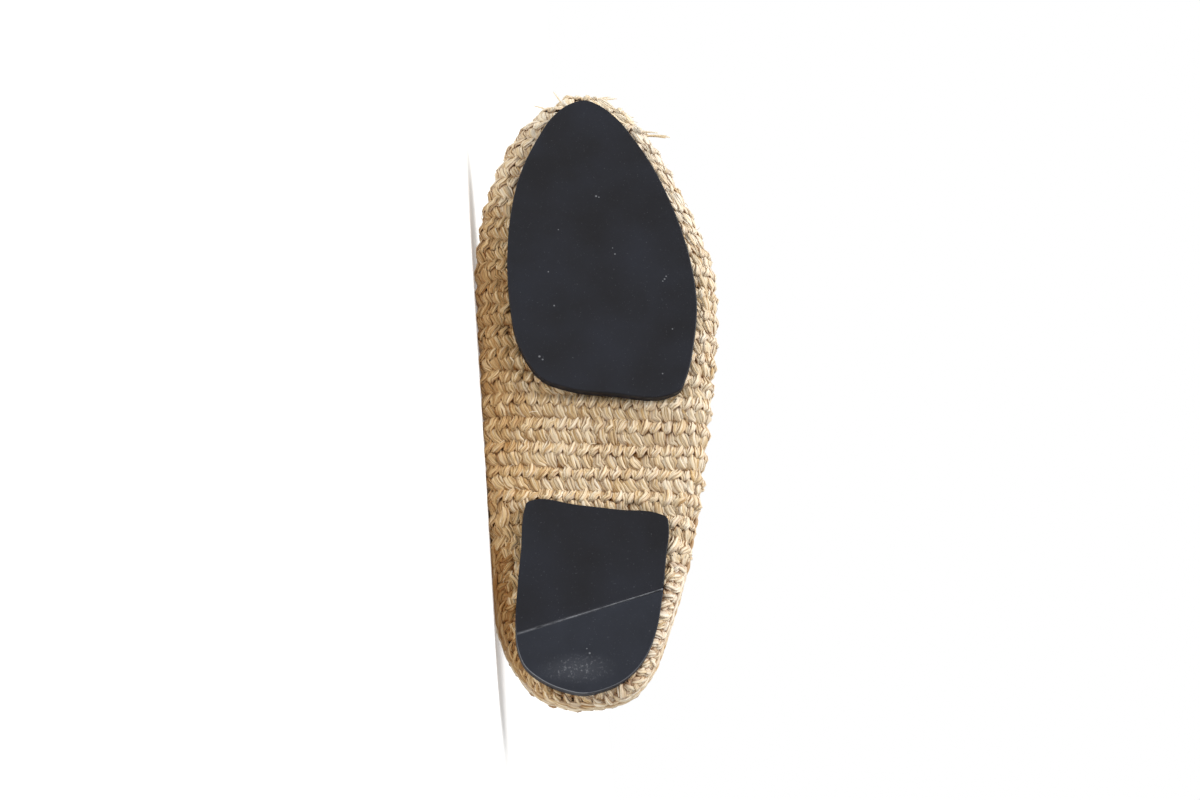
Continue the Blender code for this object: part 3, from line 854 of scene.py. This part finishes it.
def path_frames(points, normals):
    """Even steps of a path over the skin: run, points, and the directions out of the wall and to its edge."""
    run = run_of(points)
    even = np.linspace(0, run[-1], EDGE_STEPS)
    centre = between(even, run, points)
    out = between(even, run, normals)
    forward = unit(np.gradient(centre, axis=0))
    out = unit(out - (out * forward).sum(axis=1, keepdims=True) * forward)
    return SimpleNamespace(run=even, centre=centre, out=out, edgeward=np.cross(forward, out))


def on_path(path, run, edgeward, out):
    """Points beside a path: run along it, mm towards the wall's edge and mm out of the wall."""
    run = np.clip(run, 0, path.run[-1])
    lines = (path.centre, path.edgeward, path.out)
    centre, to_edge, to_out = [between(run, path.run, line) for line in lines]
    return centre + edgeward[..., None] * to_edge + out[..., None] * to_out


def loop_path(start, height_at, nose=0.0):
    """Path from a place on the inner side back round the heel, whose end is at nose, to the outer side."""
    points, normals = [], []
    for side in SIDES:
        along = eased(nose, start[side], math.pi * np.linspace(0, 1, PATH_POINTS))
        along = along[::-1] if side == INNER else along
        around = around_at_height(along, side, height_at(along, side))
        points.append(on_skin(along, around))
        normals.append(read_grid(SKIN.normals, along, around))
    return path_frames(np.vstack(points), np.vstack(normals))


def heel_row_path(inner, outer):
    """Path of a row round the heel, which comes down from its outer to its inner height."""
    nose = np.linspace(0, HEEL_NOSE, NOSE_STEPS)
    end = np.interp(outer, section_at(nose).under[::-1], nose[::-1])
    drop = {INNER: outer - inner, OUTER: 0.0}
    return loop_path(
        HEEL_ROWS_END, lambda along, side: outer - drop[side] * np.clip(along / HEEL_TURN, 0, 1), end,
    )


def sew_row(bag, kind, path, pitch, below, out, shading):
    """Stitches along a path, mm below it and out of the wall, with painted shade at its inner end turning to
    painted light at its outer end.
    """
    length = path.run[-1]
    count = round(length / pitch)
    stitches = scatter(kind, count)
    places = (np.arange(count)[:, None] + RNG.uniform(*FIRST_STITCH)) * length / count
    points = on_path(path, places + stitches["x"], stitches["y"] - below, stitches["z"] + out)
    shade_by_side(stitches, np.clip(shading * (2 * places / length - 1), -1.0, 1.0))
    gather(bag, kind, points, stitches, flip=True)


def make_edging():
    """A braided edge over the rim and collar, rows of stitches round the heel, and cords along the collar."""
    bag = new_bag()
    braid = stitch_kind(CHAIN, stray=0.12, turn=0.05, least_shade=0.4)
    edge = loop_path({side: THROAT_AT for side in SIDES}, collar_height)
    count = round(edge.run[-1] / STITCH_PITCH)
    stitches = scatter(braid, count)
    run = (np.arange(count)[:, None] + 0.5) * edge.run[-1] / count + stitches["x"]
    over = stitches["z"] + EDGE_TOP - BRAID_SINK
    gather(bag, braid, on_path(edge, run, over, stitches["y"] * BRAID_WIDTH - WALL / 2), stitches)
    kinds = {
        "knot": stitch_kind(KNOT, RIBBON, KNOT_RIBBONS, stray=0.28, turn=0.3, least_shade=0.3),
        "cord": stitch_kind(CORD, stray=0.08, turn=0.05, least_shade=0.45, grooved=0.6),
    }
    for name, inner, outer, pitch, out in HEEL_ROWS:
        sew_row(bag, kinds[name], heel_row_path(inner, outer), pitch, 0.0, out, HEEL_SHADING)
    for below in COLLAR_CORDS:
        sew_row(bag, kinds["cord"], edge, STITCH_PITCH, below, COLLAR_CORD_OUT, 0.0)
    crochet_piece("crochet_edging", bag)


# Loose ends of raffia

# Where strand ends stick out at the toe: along, share round the shoe, how far they reach along, across and
# up, mm, and how many there are
TOE_ENDS = (
    (243.0, -0.42, (3.4, -7.6, 0.3), 1), (246.5, -0.30, (5.0, -3.8, 0.0), 1),
    (248.9, 0.05, (2.8, 12.5, 0.5), 7), (240.0, 0.45, (1.0, 2.5, 0.0), 2),
    (233.0, 0.40, (-0.4, 10.4, 0.3), 4),
)
# How those ends differ: place along and round, depth of the root, share of the reach, splay, bend as a share
# of the reach and rise there, rise of the tip, width and thickness, mm
END_ALONG, END_AROUND, END_ROOT, END_REACH, END_SPLAY = 0.9, 0.05, -1.0, (0.8, 1.1), 0.4
END_BEND, END_RISE, END_TIP, END_WIDE, END_THICK = 0.45, (0.6, 1.1), 0.8, (0.45, 1.0), 0.35
# Short torn fibres: how many are tried, where along, their length and root, then as for the ends, mm
FUZZ, FUZZ_ALONG, FUZZ_LENGTH, FUZZ_ROOT = 260, (8, 247), (1.5, 5.0), 0.6
FUZZ_BEND, FUZZ_RISE, FUZZ_TIP, FUZZ_WIDE, FUZZ_THICK = 0.5, (0.3, 1.0), 0.5, (0.14, 0.3), 0.12
# The share of its width that an end keeps at its tip, and how pale ends are, with its spread
TIP_WIDTH, LOOSE_TINT = 0.5, (0.66, 0.15)


def toe_ends():
    """Path, width and thickness of each strand end that sticks out at the toe."""
    for along, around, reach, count in TOE_ENDS:
        for _ in range(count):
            spot = [np.array([along + RNG.normal(0, END_ALONG)])]
            spot.append(np.array([around + RNG.normal(0, END_AROUND)]))
            start = on_skin(*spot, END_ROOT)[0]
            out = read_grid(SKIN.normals, *spot)[0]
            go = np.array(reach) * RNG.uniform(*END_REACH) + RNG.normal(0, END_SPLAY, 3)
            bend = start + END_BEND * go + out * RNG.uniform(*END_RISE)
            yield (start, bend, start + go + out * END_TIP), RNG.uniform(*END_WIDE), END_THICK


def fuzz():
    """Path, width and thickness of each short torn fibre on the crochet."""
    for _ in range(FUZZ):
        along, around = np.array([RNG.uniform(*FUZZ_ALONG)]), np.array([RNG.uniform(-1, 1)])
        if np.abs(around)[0] > edge_around(along, around)[0] or hidden_by_pads(along, around)[0]:
            continue
        start = on_skin(along, around)[0]
        out = read_grid(SKIN.normals, along, around)[0]
        go = RNG.normal(0, 1, 3)
        go -= out * (go @ out)
        go *= RNG.uniform(*FUZZ_LENGTH) / np.linalg.norm(go)
        bend = start + FUZZ_BEND * go + out * RNG.uniform(*FUZZ_RISE)
        path = (start - out * FUZZ_ROOT, bend, start + go + out * FUZZ_TIP)
        yield path, RNG.uniform(*FUZZ_WIDE), FUZZ_THICK


def make_loose_ends():
    """Strand ends that stick out at the toe, and short torn fibres all over the crochet."""
    kind = SimpleNamespace(
        strands=1, strand_points=LOOSE[0] * LOOSE[1], quads=ring_quads(*LOOSE), least_shade=0.0,
    )
    bag = new_bag()
    for path, wide, thick in [*toe_ends(), *fuzz()]:
        points, fibre, _light = raffia_strand(path, (wide, wide, TIP_WIDTH * wide), thick, *LOOSE)
        seed = np.full(len(fibre), RNG.uniform(0, STREAK_PLACES))
        gather(bag, kind, points[None], {
            "fibre": np.column_stack((fibre, seed))[None],
            "tint": np.full((1, len(points)), RNG.normal(*LOOSE_TINT)),
            "z": np.full((1, len(points)), STITCH_RISE), "light": np.ones((1, len(points))),
        })
    crochet_piece("raffia_loose_ends", bag)


# Backing inside the wall

# Rows of points behind the throat, and as many ahead of it, and points round the shoe
CORE_HALF_ROWS, CORE_COLUMNS = 100, 49
# How far out of the skin its two faces lie, and how far before the toe's end it stops, mm
CORE_OUT, CORE_IN, CORE_TIP = -1.3, -2.9, 0.2


def core_material():
    """The strands behind the stitches: the same dried leaf, always in shade, so painted a darker brown, and
    rough.
    """
    material = new_material("raffia_in_shade")
    place = node(material, "TexCoord")
    # Strand ends of about 1.5 mm
    mottle = node(
        material, "TexNoise",
        {"Vector": (place, "Object"), "Scale": 1 / (1.5 * MM), "Detail": 3.0},
    )
    colour = node(material, "ValToRGB", {"Fac": (mottle, "Fac")}, ((0.3, "#7E5124"), (0.7, "#AB7D45")))
    bump = node(material, "Bump", {"Height": (mottle, "Fac"), "Strength": 0.8, "Distance": 0.4 * MM})
    shader = node(material, "BsdfPrincipled", {
        "Base Color": (colour, "Color"), "Roughness": 0.8, "Normal": (bump, "Normal"),
    })
    node(material, "OutputMaterial", {"Surface": (shader, "BSDF")})
    return material


def make_core():
    """The close inner layer of the wall, painted darker for shade, which shows as brown in the crevices
    between stitches.
    """
    back = eased(0.0, THROAT_AT, math.pi * (np.arange(CORE_HALF_ROWS) + 0.5) / CORE_HALF_ROWS)
    to_tip = np.sin(math.pi / 2 * np.linspace(0, 1, CORE_HALF_ROWS))
    rows = np.concatenate((back, THROAT_AT + (LENGTH - CORE_TIP - THROAT_AT) * to_tip))
    share = np.linspace(-1, 1, CORE_COLUMNS)[None]
    along = np.broadcast_to(rows[:, None], (len(rows), CORE_COLUMNS))
    around = share * edge_around(along, np.broadcast_to(share, along.shape))
    swell = ridge_at(run_at(along) - run_at(FIRST_GROOVE) - PAIR / 2, around)
    outer = on_skin(along, around, CORE_OUT + swell).reshape(-1, 3)
    inner = on_skin(along, around, CORE_IN).reshape(-1, 3)
    index = np.arange(len(outer)).reshape(along.shape)
    closed = rows >= THROAT_AT
    index[closed, -1] = index[closed, 0]
    points = to_world(np.vstack((outer, inner)))
    piece = mesh_piece("crochet_core", points, shell_faces(index), core_material())
    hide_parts("upper")
    bm = bmesh.new()
    bm.from_mesh(piece.data)
    bmesh.ops.delete(bm, geom=[v for v in bm.verts if not v.link_faces], context="VERTS")
    bmesh.ops.recalc_face_normals(bm, faces=bm.faces)
    bm.to_mesh(piece.data)
    bm.free()
    piece.data.shade_smooth()


# Rubber pads

# Pale specks and nicks in the pads: along, across, radius, mm
SPECKS = (
    (199.0, 2.2, 0.50), (198.6, 3.3, 0.35), (173.9, 9.5, 0.42), (176.5, 8.6, 0.30), (163.8, 28.4, 0.45),
    (165.0, 29.0, 0.38), (162.9, 27.7, 0.34), (165.4, -15.8, 0.36), (151.1, -13.4, 0.42),
    (142.8, 31.1, 0.36), (124.2, 27.2, 0.36), (183.7, -12.2, 0.30), (129.8, -18.6, 0.55),
    (128.6, -17.4, 0.45), (16.4, 0.6, 0.45), (18.0, -0.4, 0.30), (3.6, -15.4, 0.45),
)
# Dusty scuff on the rear of the heel: along, across, then half lengths, mm
SCUFF_MIDDLE, SCUFF_HALF = (10.8, -3.5), (5.5, 13.0)
# How pale grit, specks, the scuff and the rubbed edge, partly a painted highlight, are
GRIT_PALE, SPECK_PALE, SCUFF_PALE, RUBBED_LIT_PALE = 0.10, 0.42, 0.42, 0.5


def rubber_material(name, dark, light, scuffed):
    """Moulded rubber, a little worn: dark satin with a faint cloudy bloom, pale specks and a dusty scuff."""
    material = new_material(name)
    place = node(material, "TexCoord")
    # Bloom in clouds of about 25 mm, grit of about 0.6 mm
    cloud = node(material, "TexNoise", {"Vector": (place, "Object"), "Scale": 1 / (25 * MM), "Detail": 4.0})
    grit = node(material, "TexNoise", {"Vector": (place, "Object"), "Scale": 1 / (0.6 * MM), "Detail": 2.0})
    # The rubbed edge: partly real wear, partly a painted highlight
    rubbed_and_highlight = node(material, "Attribute", attribute_name="wear_and_highlight")
    marks = [
        node(
            material, "MapRange",
            {"Value": (grit, "Fac"), "From Min": 0.66, "From Max": 0.80, "To Min": 0.0, "To Max": GRIT_PALE},
        ),
        node(material, "Math", {0: (rubbed_and_highlight, "Fac"), 1: RUBBED_LIT_PALE}, operation="MULTIPLY"),
    ]
    for along, across, radius in SPECKS:
        spot = Vector(to_world((along, across, toe_lift(along))))
        away = node(material, "VectorMath", {0: (place, "Object"), 1: spot}, operation="DISTANCE")
        marks.append(node(
            material, "MapRange",
            {"Value": (away, "Value"), "From Min": 0.3 * radius * MM, "From Max": radius * MM,
             "To Min": SPECK_PALE, "To Max": 0.0},
        ))
    if scuffed:
        middle = Vector(to_world((*SCUFF_MIDDLE, 0.0)))
        from_middle = node(material, "VectorMath", {0: (place, "Object"), 1: middle}, operation="SUBTRACT")
        per_half = (1 / (SCUFF_HALF[0] * MM), 0.0, 1 / (SCUFF_HALF[1] * MM))
        squeeze = node(
            material, "VectorMath", {0: (from_middle, "Vector"), 1: per_half}, operation="MULTIPLY",
        )
        reach = node(material, "VectorMath", {0: (squeeze, "Vector")}, operation="LENGTH")
        inside = node(
            material, "MapRange",
            {"Value": (reach, "Value"), "From Min": 0.1, "From Max": 1.2,
             "To Min": SCUFF_PALE, "To Max": 0.0},
            interpolation_type="SMOOTHSTEP",
        )
        # Dust lies in specks of about 0.9 mm
        dust = node(
            material, "TexNoise",
            {"Vector": (place, "Object"), "Scale": 1 / (0.9 * MM), "Detail": 4.0, "Roughness": 0.7},
        )
        sparse = node(
            material, "MapRange",
            {"Value": (dust, "Fac"), "From Min": 0.54, "From Max": 0.72, "To Min": 0.12, "To Max": 1.0},
        )
        marks.append(node(
            material, "Math", {0: (inside, "Result"), 1: (sparse, "Result")}, operation="MULTIPLY",
        ))
    worn = marks[0]
    for mark in marks[1:]:
        worn = node(material, "Math", {0: (worn, 0), 1: (mark, 0)}, operation="MAXIMUM")
    bloom = node(material, "ValToRGB", {"Fac": (cloud, "Fac")}, ((0.35, dark), (0.7, light)))
    colour = node(
        material, "Mix",
        {"Factor": (worn, 0), "A": (bloom, "Color"), "B": linear("#A9ABB0")}, data_type="RGBA",
    )
    gloss = node(
        material, "MapRange",
        {"Value": (cloud, "Fac"), "From Min": 0.3, "From Max": 0.7, "To Min": 0.42, "To Max": 0.56},
    )
    bump = node(material, "Bump", {"Height": (grit, "Fac"), "Strength": 0.12, "Distance": 0.08 * MM})
    shader = node(material, "BsdfPrincipled", {
        "Base Color": (colour, "Result"), "Roughness": (gloss, "Result"), "IOR": 1.5,
        "Specular IOR Level": 0.2, "Normal": (bump, "Normal"),
    })
    node(material, "OutputMaterial", {"Surface": (shader, "BSDF")})
    return material


RUBBER = rubber_material("moulded_rubber", "#1C1C20", "#21232B", False)
RUBBER_REAR = rubber_material("moulded_rubber_rear", "#202228", "#2A2D36", True)

# Radius of the rounded edges, mm
FOREFOOT_EDGE, HEEL_EDGE = 0.55, 0.4
EDGE_SEGMENTS = 4
SPRING_CUTS = 22
# Points of an outline closer than this are joined, mm
CLOSEST = 0.35
# The rounded edge is rubbed pale, partly as a painted highlight, between these heights, round the back of the
# heel between these places along, mm, and less at its outer corner
RUBBED_LIT_LOW, RUBBED_LIT_UP, RUBBED_LIT_FROM, RUBBED_LIT_TO, RUBBED_LIT_OUTER = 0.01, 0.2, 28.0, 8.0, 0.5
# Weight that keeps the shading of the wide faces flat up to the rounded edge
FLAT_WEIGHT = 100


def make_pad(name, outline, edge, material, cad_node):
    """A rubber pad with rounded edges, bent up with the toe spring."""
    outline = outline[np.linalg.norm(outline - np.roll(outline, 1, axis=0), axis=1) > CLOSEST]
    bm = bmesh.new()
    lower = [bm.verts.new((x, y, 0.0)) for x, y in outline]
    upper = [bm.verts.new((x, y, PAD)) for x, y in outline]
    bm.faces.new(lower[::-1])
    bm.faces.new(upper)
    for i in range(len(outline)):
        bm.faces.new((lower[i - 1], lower[i], upper[i], upper[i - 1]))
    bmesh.ops.recalc_face_normals(bm, faces=bm.faces)
    rims = [rim for rim in bm.edges if rim.verts[0].co.z == rim.verts[1].co.z]
    bmesh.ops.bevel(bm, geom=rims, offset=edge, segments=EDGE_SEGMENTS, profile=0.5, affect="EDGES")
    front = outline[:, 0].max() / LENGTH
    if front > SPRING_START:
        for share in np.linspace(SPRING_START, front, SPRING_CUTS + 1)[:-1]:
            geometry = bm.verts[:] + bm.edges[:] + bm.faces[:]
            bmesh.ops.bisect_plane(bm, geom=geometry, plane_co=(share * LENGTH, 0, 0), plane_no=(1, 0, 0))
    bmesh.ops.triangulate(bm, faces=[face for face in bm.faces if len(face.verts) > 4])
    points = np.array([vertex.co for vertex in bm.verts])
    # Pale rubbed edge: partly real wear, partly a painted highlight where the rounded edge catches the light
    on_edge = (points[:, 2] > RUBBED_LIT_LOW) & (points[:, 2] < RUBBED_LIT_UP)
    to_back = np.clip((RUBBED_LIT_FROM - points[:, 0]) / (RUBBED_LIT_FROM - RUBBED_LIT_TO), 0.0, 1.0)
    wear_and_highlight = on_edge * to_back * np.where(points[:, 1] < 0, 1.0, RUBBED_LIT_OUTER)
    points[:, 2] += toe_lift(points[:, 0])
    for vertex, point in zip(bm.verts, to_world(points)):
        vertex.co = point
    piece = mesh_piece(name, np.zeros((0, 3)), [], material)
    bm.to_mesh(piece.data)
    bm.free()
    piece.data.shade_smooth()
    set_attribute(piece, "wear_and_highlight", "FLOAT", wear_and_highlight)
    piece.modifiers.new("flat_faces", "WEIGHTED_NORMAL").weight = FLAT_WEIGHT
    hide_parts(cad_node)


def heel_seam():
    """A point of the seam across the heel, and the direction ahead of it."""
    a, b = np.array(HEEL_SEAM) * PERCENT
    return a, np.array((b[1] - a[1], a[0] - b[0])) / np.linalg.norm(b - a)


def seam_cut(outline, keep):
    """The part of an outline in front of the heel seam (keep 1) or behind it (-1), half a gap away."""
    start, ahead = heel_seam()
    clear = keep * ((outline - start) @ ahead) - GAP / 2
    kept = []
    for i in range(len(outline)):
        j = (i + 1) % len(outline)
        if clear[i] >= 0:
            kept.append(outline[i])
        if clear[i] * clear[j] < 0:
            kept.append(outline[i] + (outline[j] - outline[i]) * clear[i] / (clear[i] - clear[j]))
    return np.array(kept)


# Half widths of the cement at its lower and upper edge and the heights of those, mm, and the shares of the
# joint's length where it starts and ends
CEMENT_HALVES, CEMENT_HEIGHTS, CEMENT_ENDS = (0.2, 0.1), (0.2, PAD - GAP), (0.006, 0.994)
CEMENT_STEPS = 40
# Points of an outline this near to the joint are on it, mm
ON_JOINT = 0.01


def cement_material():
    """Dried contact cement with dust in it: a matt pale grey, patchy along the joint."""
    material = new_material("dried_cement")
    place = node(material, "TexCoord")
    # Patches of about 4 mm
    patch = node(material, "TexNoise", {"Vector": (place, "Object"), "Scale": 1 / (4 * MM), "Detail": 4.0})
    colour = node(material, "ValToRGB", {"Fac": (patch, "Fac")}, ((0.35, "#303137"), (0.72, "#7A7C82")))
    shader = node(material, "BsdfPrincipled", {"Base Color": (colour, "Color"), "Roughness": 0.8})
    node(material, "OutputMaterial", {"Surface": (shader, "BSDF")})
    return material


def make_cement():
    """The thin pale line that fills the joint between the two heel pieces."""
    start, ahead = heel_seam()
    front = seam_cut(HEEL, 1)
    on_joint = front[np.abs((front - start) @ ahead - GAP / 2) < ON_JOINT] - ahead * GAP / 2
    share = np.linspace(*CEMENT_ENDS, CEMENT_STEPS)[:, None]
    line = on_joint[0] + (on_joint[-1] - on_joint[0]) * share
    (low_half, high_half), (low, high) = CEMENT_HALVES, CEMENT_HEIGHTS
    corners = ((low_half, low), (-low_half, low), (-high_half, high), (high_half, high))
    rings = np.stack([
        np.column_stack((line + ahead * aside, np.full(CEMENT_STEPS, up))) for aside, up in corners
    ], axis=1)
    points = to_world(rings.reshape(-1, 3))
    faces = ring_quads(len(corners), CEMENT_STEPS).tolist()
    mesh_piece("heel_joint_cement", points, faces, cement_material())


# Insole

INSOLE_ROWS, INSOLE_COLUMNS = 90, 29
# How far it is dished and its edge rounded off, mm, and the share of its half width where that edge begins
INSOLE_DISH, INSOLE_EDGE, INSOLE_EDGE_FROM = 0.7, 0.9, 0.965
# How far its lower face lies inside its thickness, mm, and that face's share of the width
INSOLE_LIFT, INSOLE_UNDERCUT = 0.15, 0.93


def leather_material():
    """Vegetable-tanned leather: tan, matt, with a fine pebbled grain and a slightly cloudy colour."""
    material = new_material("tan_leather")
    place = node(material, "TexCoord")
    # Grain cells of about 0.9 mm, clouds of about 30 mm
    grain = node(
        material, "TexVoronoi", {"Vector": (place, "Object"), "Scale": 1 / (0.9 * MM)},
        feature="SMOOTH_F1",
    )
    cloud = node(material, "TexNoise", {"Vector": (place, "Object"), "Scale": 1 / (30 * MM), "Detail": 5.0})
    colour = node(material, "ValToRGB", {"Fac": (cloud, "Fac")}, ((0.3, "#A67B4E"), (0.7, "#C39A6B")))
    bump = node(material, "Bump", {"Height": (grain, "Distance"), "Strength": 0.25, "Distance": 0.15 * MM})
    shader = node(material, "BsdfPrincipled", {
        "Base Color": (colour, "Color"), "Roughness": 0.55, "IOR": 1.5, "Normal": (bump, "Normal"),
    })
    node(material, "OutputMaterial", {"Surface": (shader, "BSDF")})
    return material


def make_insole():
    """The footbed: a leather sheet in the crochet, slightly dished, with a rounded edge."""
    along = eased(INSOLE_BACK * LENGTH, INSOLE_FRONT * LENGTH, math.pi * np.linspace(0, 1, INSOLE_ROWS))
    top = section_at(along).under + WALL + INSOLE_GAP + INSOLE
    inner, outer = [
        on_skin(along, around_at_height(along, side, top), -WALL - INSOLE_GAP)[:, 1] for side in SIDES
    ]
    middle, half = (outer + inner)[:, None] / 2, (outer - inner)[:, None] / 2
    share = np.sin(np.linspace(-1, 1, INSOLE_COLUMNS) * math.pi / 2)
    across = middle + half * share
    rounding = np.clip((np.abs(share) - INSOLE_EDGE_FROM) / (1 - INSOLE_EDGE_FROM), 0, 1) ** 2
    drop = INSOLE_DISH * (1 - share**2) + INSOLE_EDGE * rounding
    upper = np.stack((np.broadcast_to(along[:, None], across.shape), across, top[:, None] - drop), axis=-1)
    lower = upper.copy()
    lower[..., 2] = top[:, None] - INSOLE + INSOLE_LIFT
    lower[..., 1] = middle + (across - middle) * INSOLE_UNDERCUT
    points = to_world(np.vstack((upper.reshape(-1, 3), lower.reshape(-1, 3))))
    faces = [face[::-1] for face in shell_faces(np.arange(across.size).reshape(across.shape))]
    piece = mesh_piece("leather_insole", points, faces, leather_material())
    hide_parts("insole")


# Floor, light and camera

# The camera's lens, and on the standing shoe its place, mm, and directions; it is then turned sideways
VIEW_LENS = 57.0
VIEW_PLACE = (-172.3, -34.2, -637.4)
VIEW_RIGHT = Vector((0.02967, 0.99956, 0.0))
VIEW_UP = Vector((0.91314, -0.02710, -0.40674))
VIEW_TURN = math.radians(3.82)
# The floor and the drum round it, m, and how much the floor glows
FLOOR_SIZE, FLOOR_GLOW = 12.0, 0.28
DRUM_SIDES, DRUM_HEIGHT, DRUM_SINK = 48, 6.0, 0.01
# Light from all round, and the key light's direction, power and spread
WORLD_LIGHT = 0.42
SUN_TOWARDS, SUN_POWER, SUN_SPREAD = Vector((0.34, 0.28, -0.90)), 3.4, math.radians(35)


def make_camera():
    """The photograph's view of the sole, turned so that the shoe comes to the middle of the image."""
    data = bpy.data.cameras.new("view")
    data.lens = VIEW_LENS
    camera = bpy.data.objects.new("view", data)
    bpy.context.scene.collection.objects.link(camera)
    right = VIEW_RIGHT * math.cos(VIEW_TURN) + VIEW_RIGHT.cross(VIEW_UP) * math.sin(VIEW_TURN)
    view_axes = Matrix((right, VIEW_UP, right.cross(VIEW_UP)))
    turn = Matrix(SHOE_AXES.tolist()).transposed() @ view_axes.transposed()
    place = HEEL_POINT + np.array(VIEW_PLACE) @ SHOE_AXES * MM
    camera.matrix_world = Matrix.Translation(Vector(place)) @ turn.to_4x4()
    bpy.context.scene.camera = camera


def make_floor():
    """A wide floor of pale paper that glows a little, painted light which softens its shadows."""
    material = new_material("pale_paper_glowing")
    # Painted light: the floor glows a little, which lightens its shadows
    shader = node(material, "BsdfPrincipled", {
        "Base Color": linear("#DEDEDD"), "Roughness": 0.9,
        "Emission Color": linear("#FFFFFF"), "Emission Strength": FLOOR_GLOW,
    })
    node(material, "OutputMaterial", {"Surface": (shader, "BSDF")})
    half = FLOOR_SIZE / 2
    corners = [(-half, -half, 0), (half, -half, 0), (half, half, 0), (-half, half, 0)]
    mesh_object("floor", corners, [(0, 1, 2, 3)], material)


def make_sun():
    """A broad soft light from far away."""
    data = bpy.data.lights.new("key", "SUN")
    data.energy = SUN_POWER
    data.angle = SUN_SPREAD
    light = bpy.data.objects.new("key", data)
    light.rotation_mode = "QUATERNION"
    light.rotation_quaternion = SUN_TOWARDS.to_track_quat("-Z", "Y")
    bpy.context.scene.collection.objects.link(light)


def make_world():
    """Soft light from all round."""
    world = bpy.data.worlds.new("studio")
    world.use_nodes = True
    background = world.node_tree.nodes["Background"]
    background.inputs["Color"].default_value = linear("#FFFFFF")
    background.inputs["Strength"].default_value = WORLD_LIGHT
    bpy.context.scene.world = world


def make_backdrop():
    """A bright white paper drum round the floor, which lights nothing."""
    material = new_material("lit_white_paper")
    glow = node(material, "Emission", {"Color": linear("#FFFFFF"), "Strength": 1.0})
    node(material, "OutputMaterial", {"Surface": (glow, "Emission")})
    turns = np.linspace(0, 2 * math.pi, DRUM_SIDES, endpoint=False)
    ring = np.column_stack((np.cos(turns), np.sin(turns))) * FLOOR_SIZE / 2
    points = [(x, y, up) for up in (-DRUM_SINK, DRUM_HEIGHT) for x, y in ring]
    low = np.arange(DRUM_SIDES)
    after = np.roll(low, -1)
    walls = np.column_stack((low, after, after + DRUM_SIDES, low + DRUM_SIDES)).tolist()
    lid = (low + DRUM_SIDES).tolist()
    drum = mesh_object("backdrop", points, walls + [lid], material)
    for ray in ("visible_diffuse", "visible_glossy", "visible_transmission", "visible_shadow"):
        setattr(drum, ray, False)


make_camera()
make_floor()
make_world()
make_backdrop()
make_sun()
bpy.context.scene.view_settings.view_transform = "Standard"

make_body()
make_edging()
make_loose_ends()
make_core()
make_pad("forefoot_pad", FOREFOOT, FOREFOOT_EDGE, RUBBER, "forefoot_sole")
make_pad("heel_pad_ahead", seam_cut(HEEL, 1), HEEL_EDGE, RUBBER, "heel_pad_front")
make_pad("heel_pad_behind", seam_cut(HEEL, -1), HEEL_EDGE, RUBBER_REAR, "heel_pad_rear")
make_cement()
make_insole()
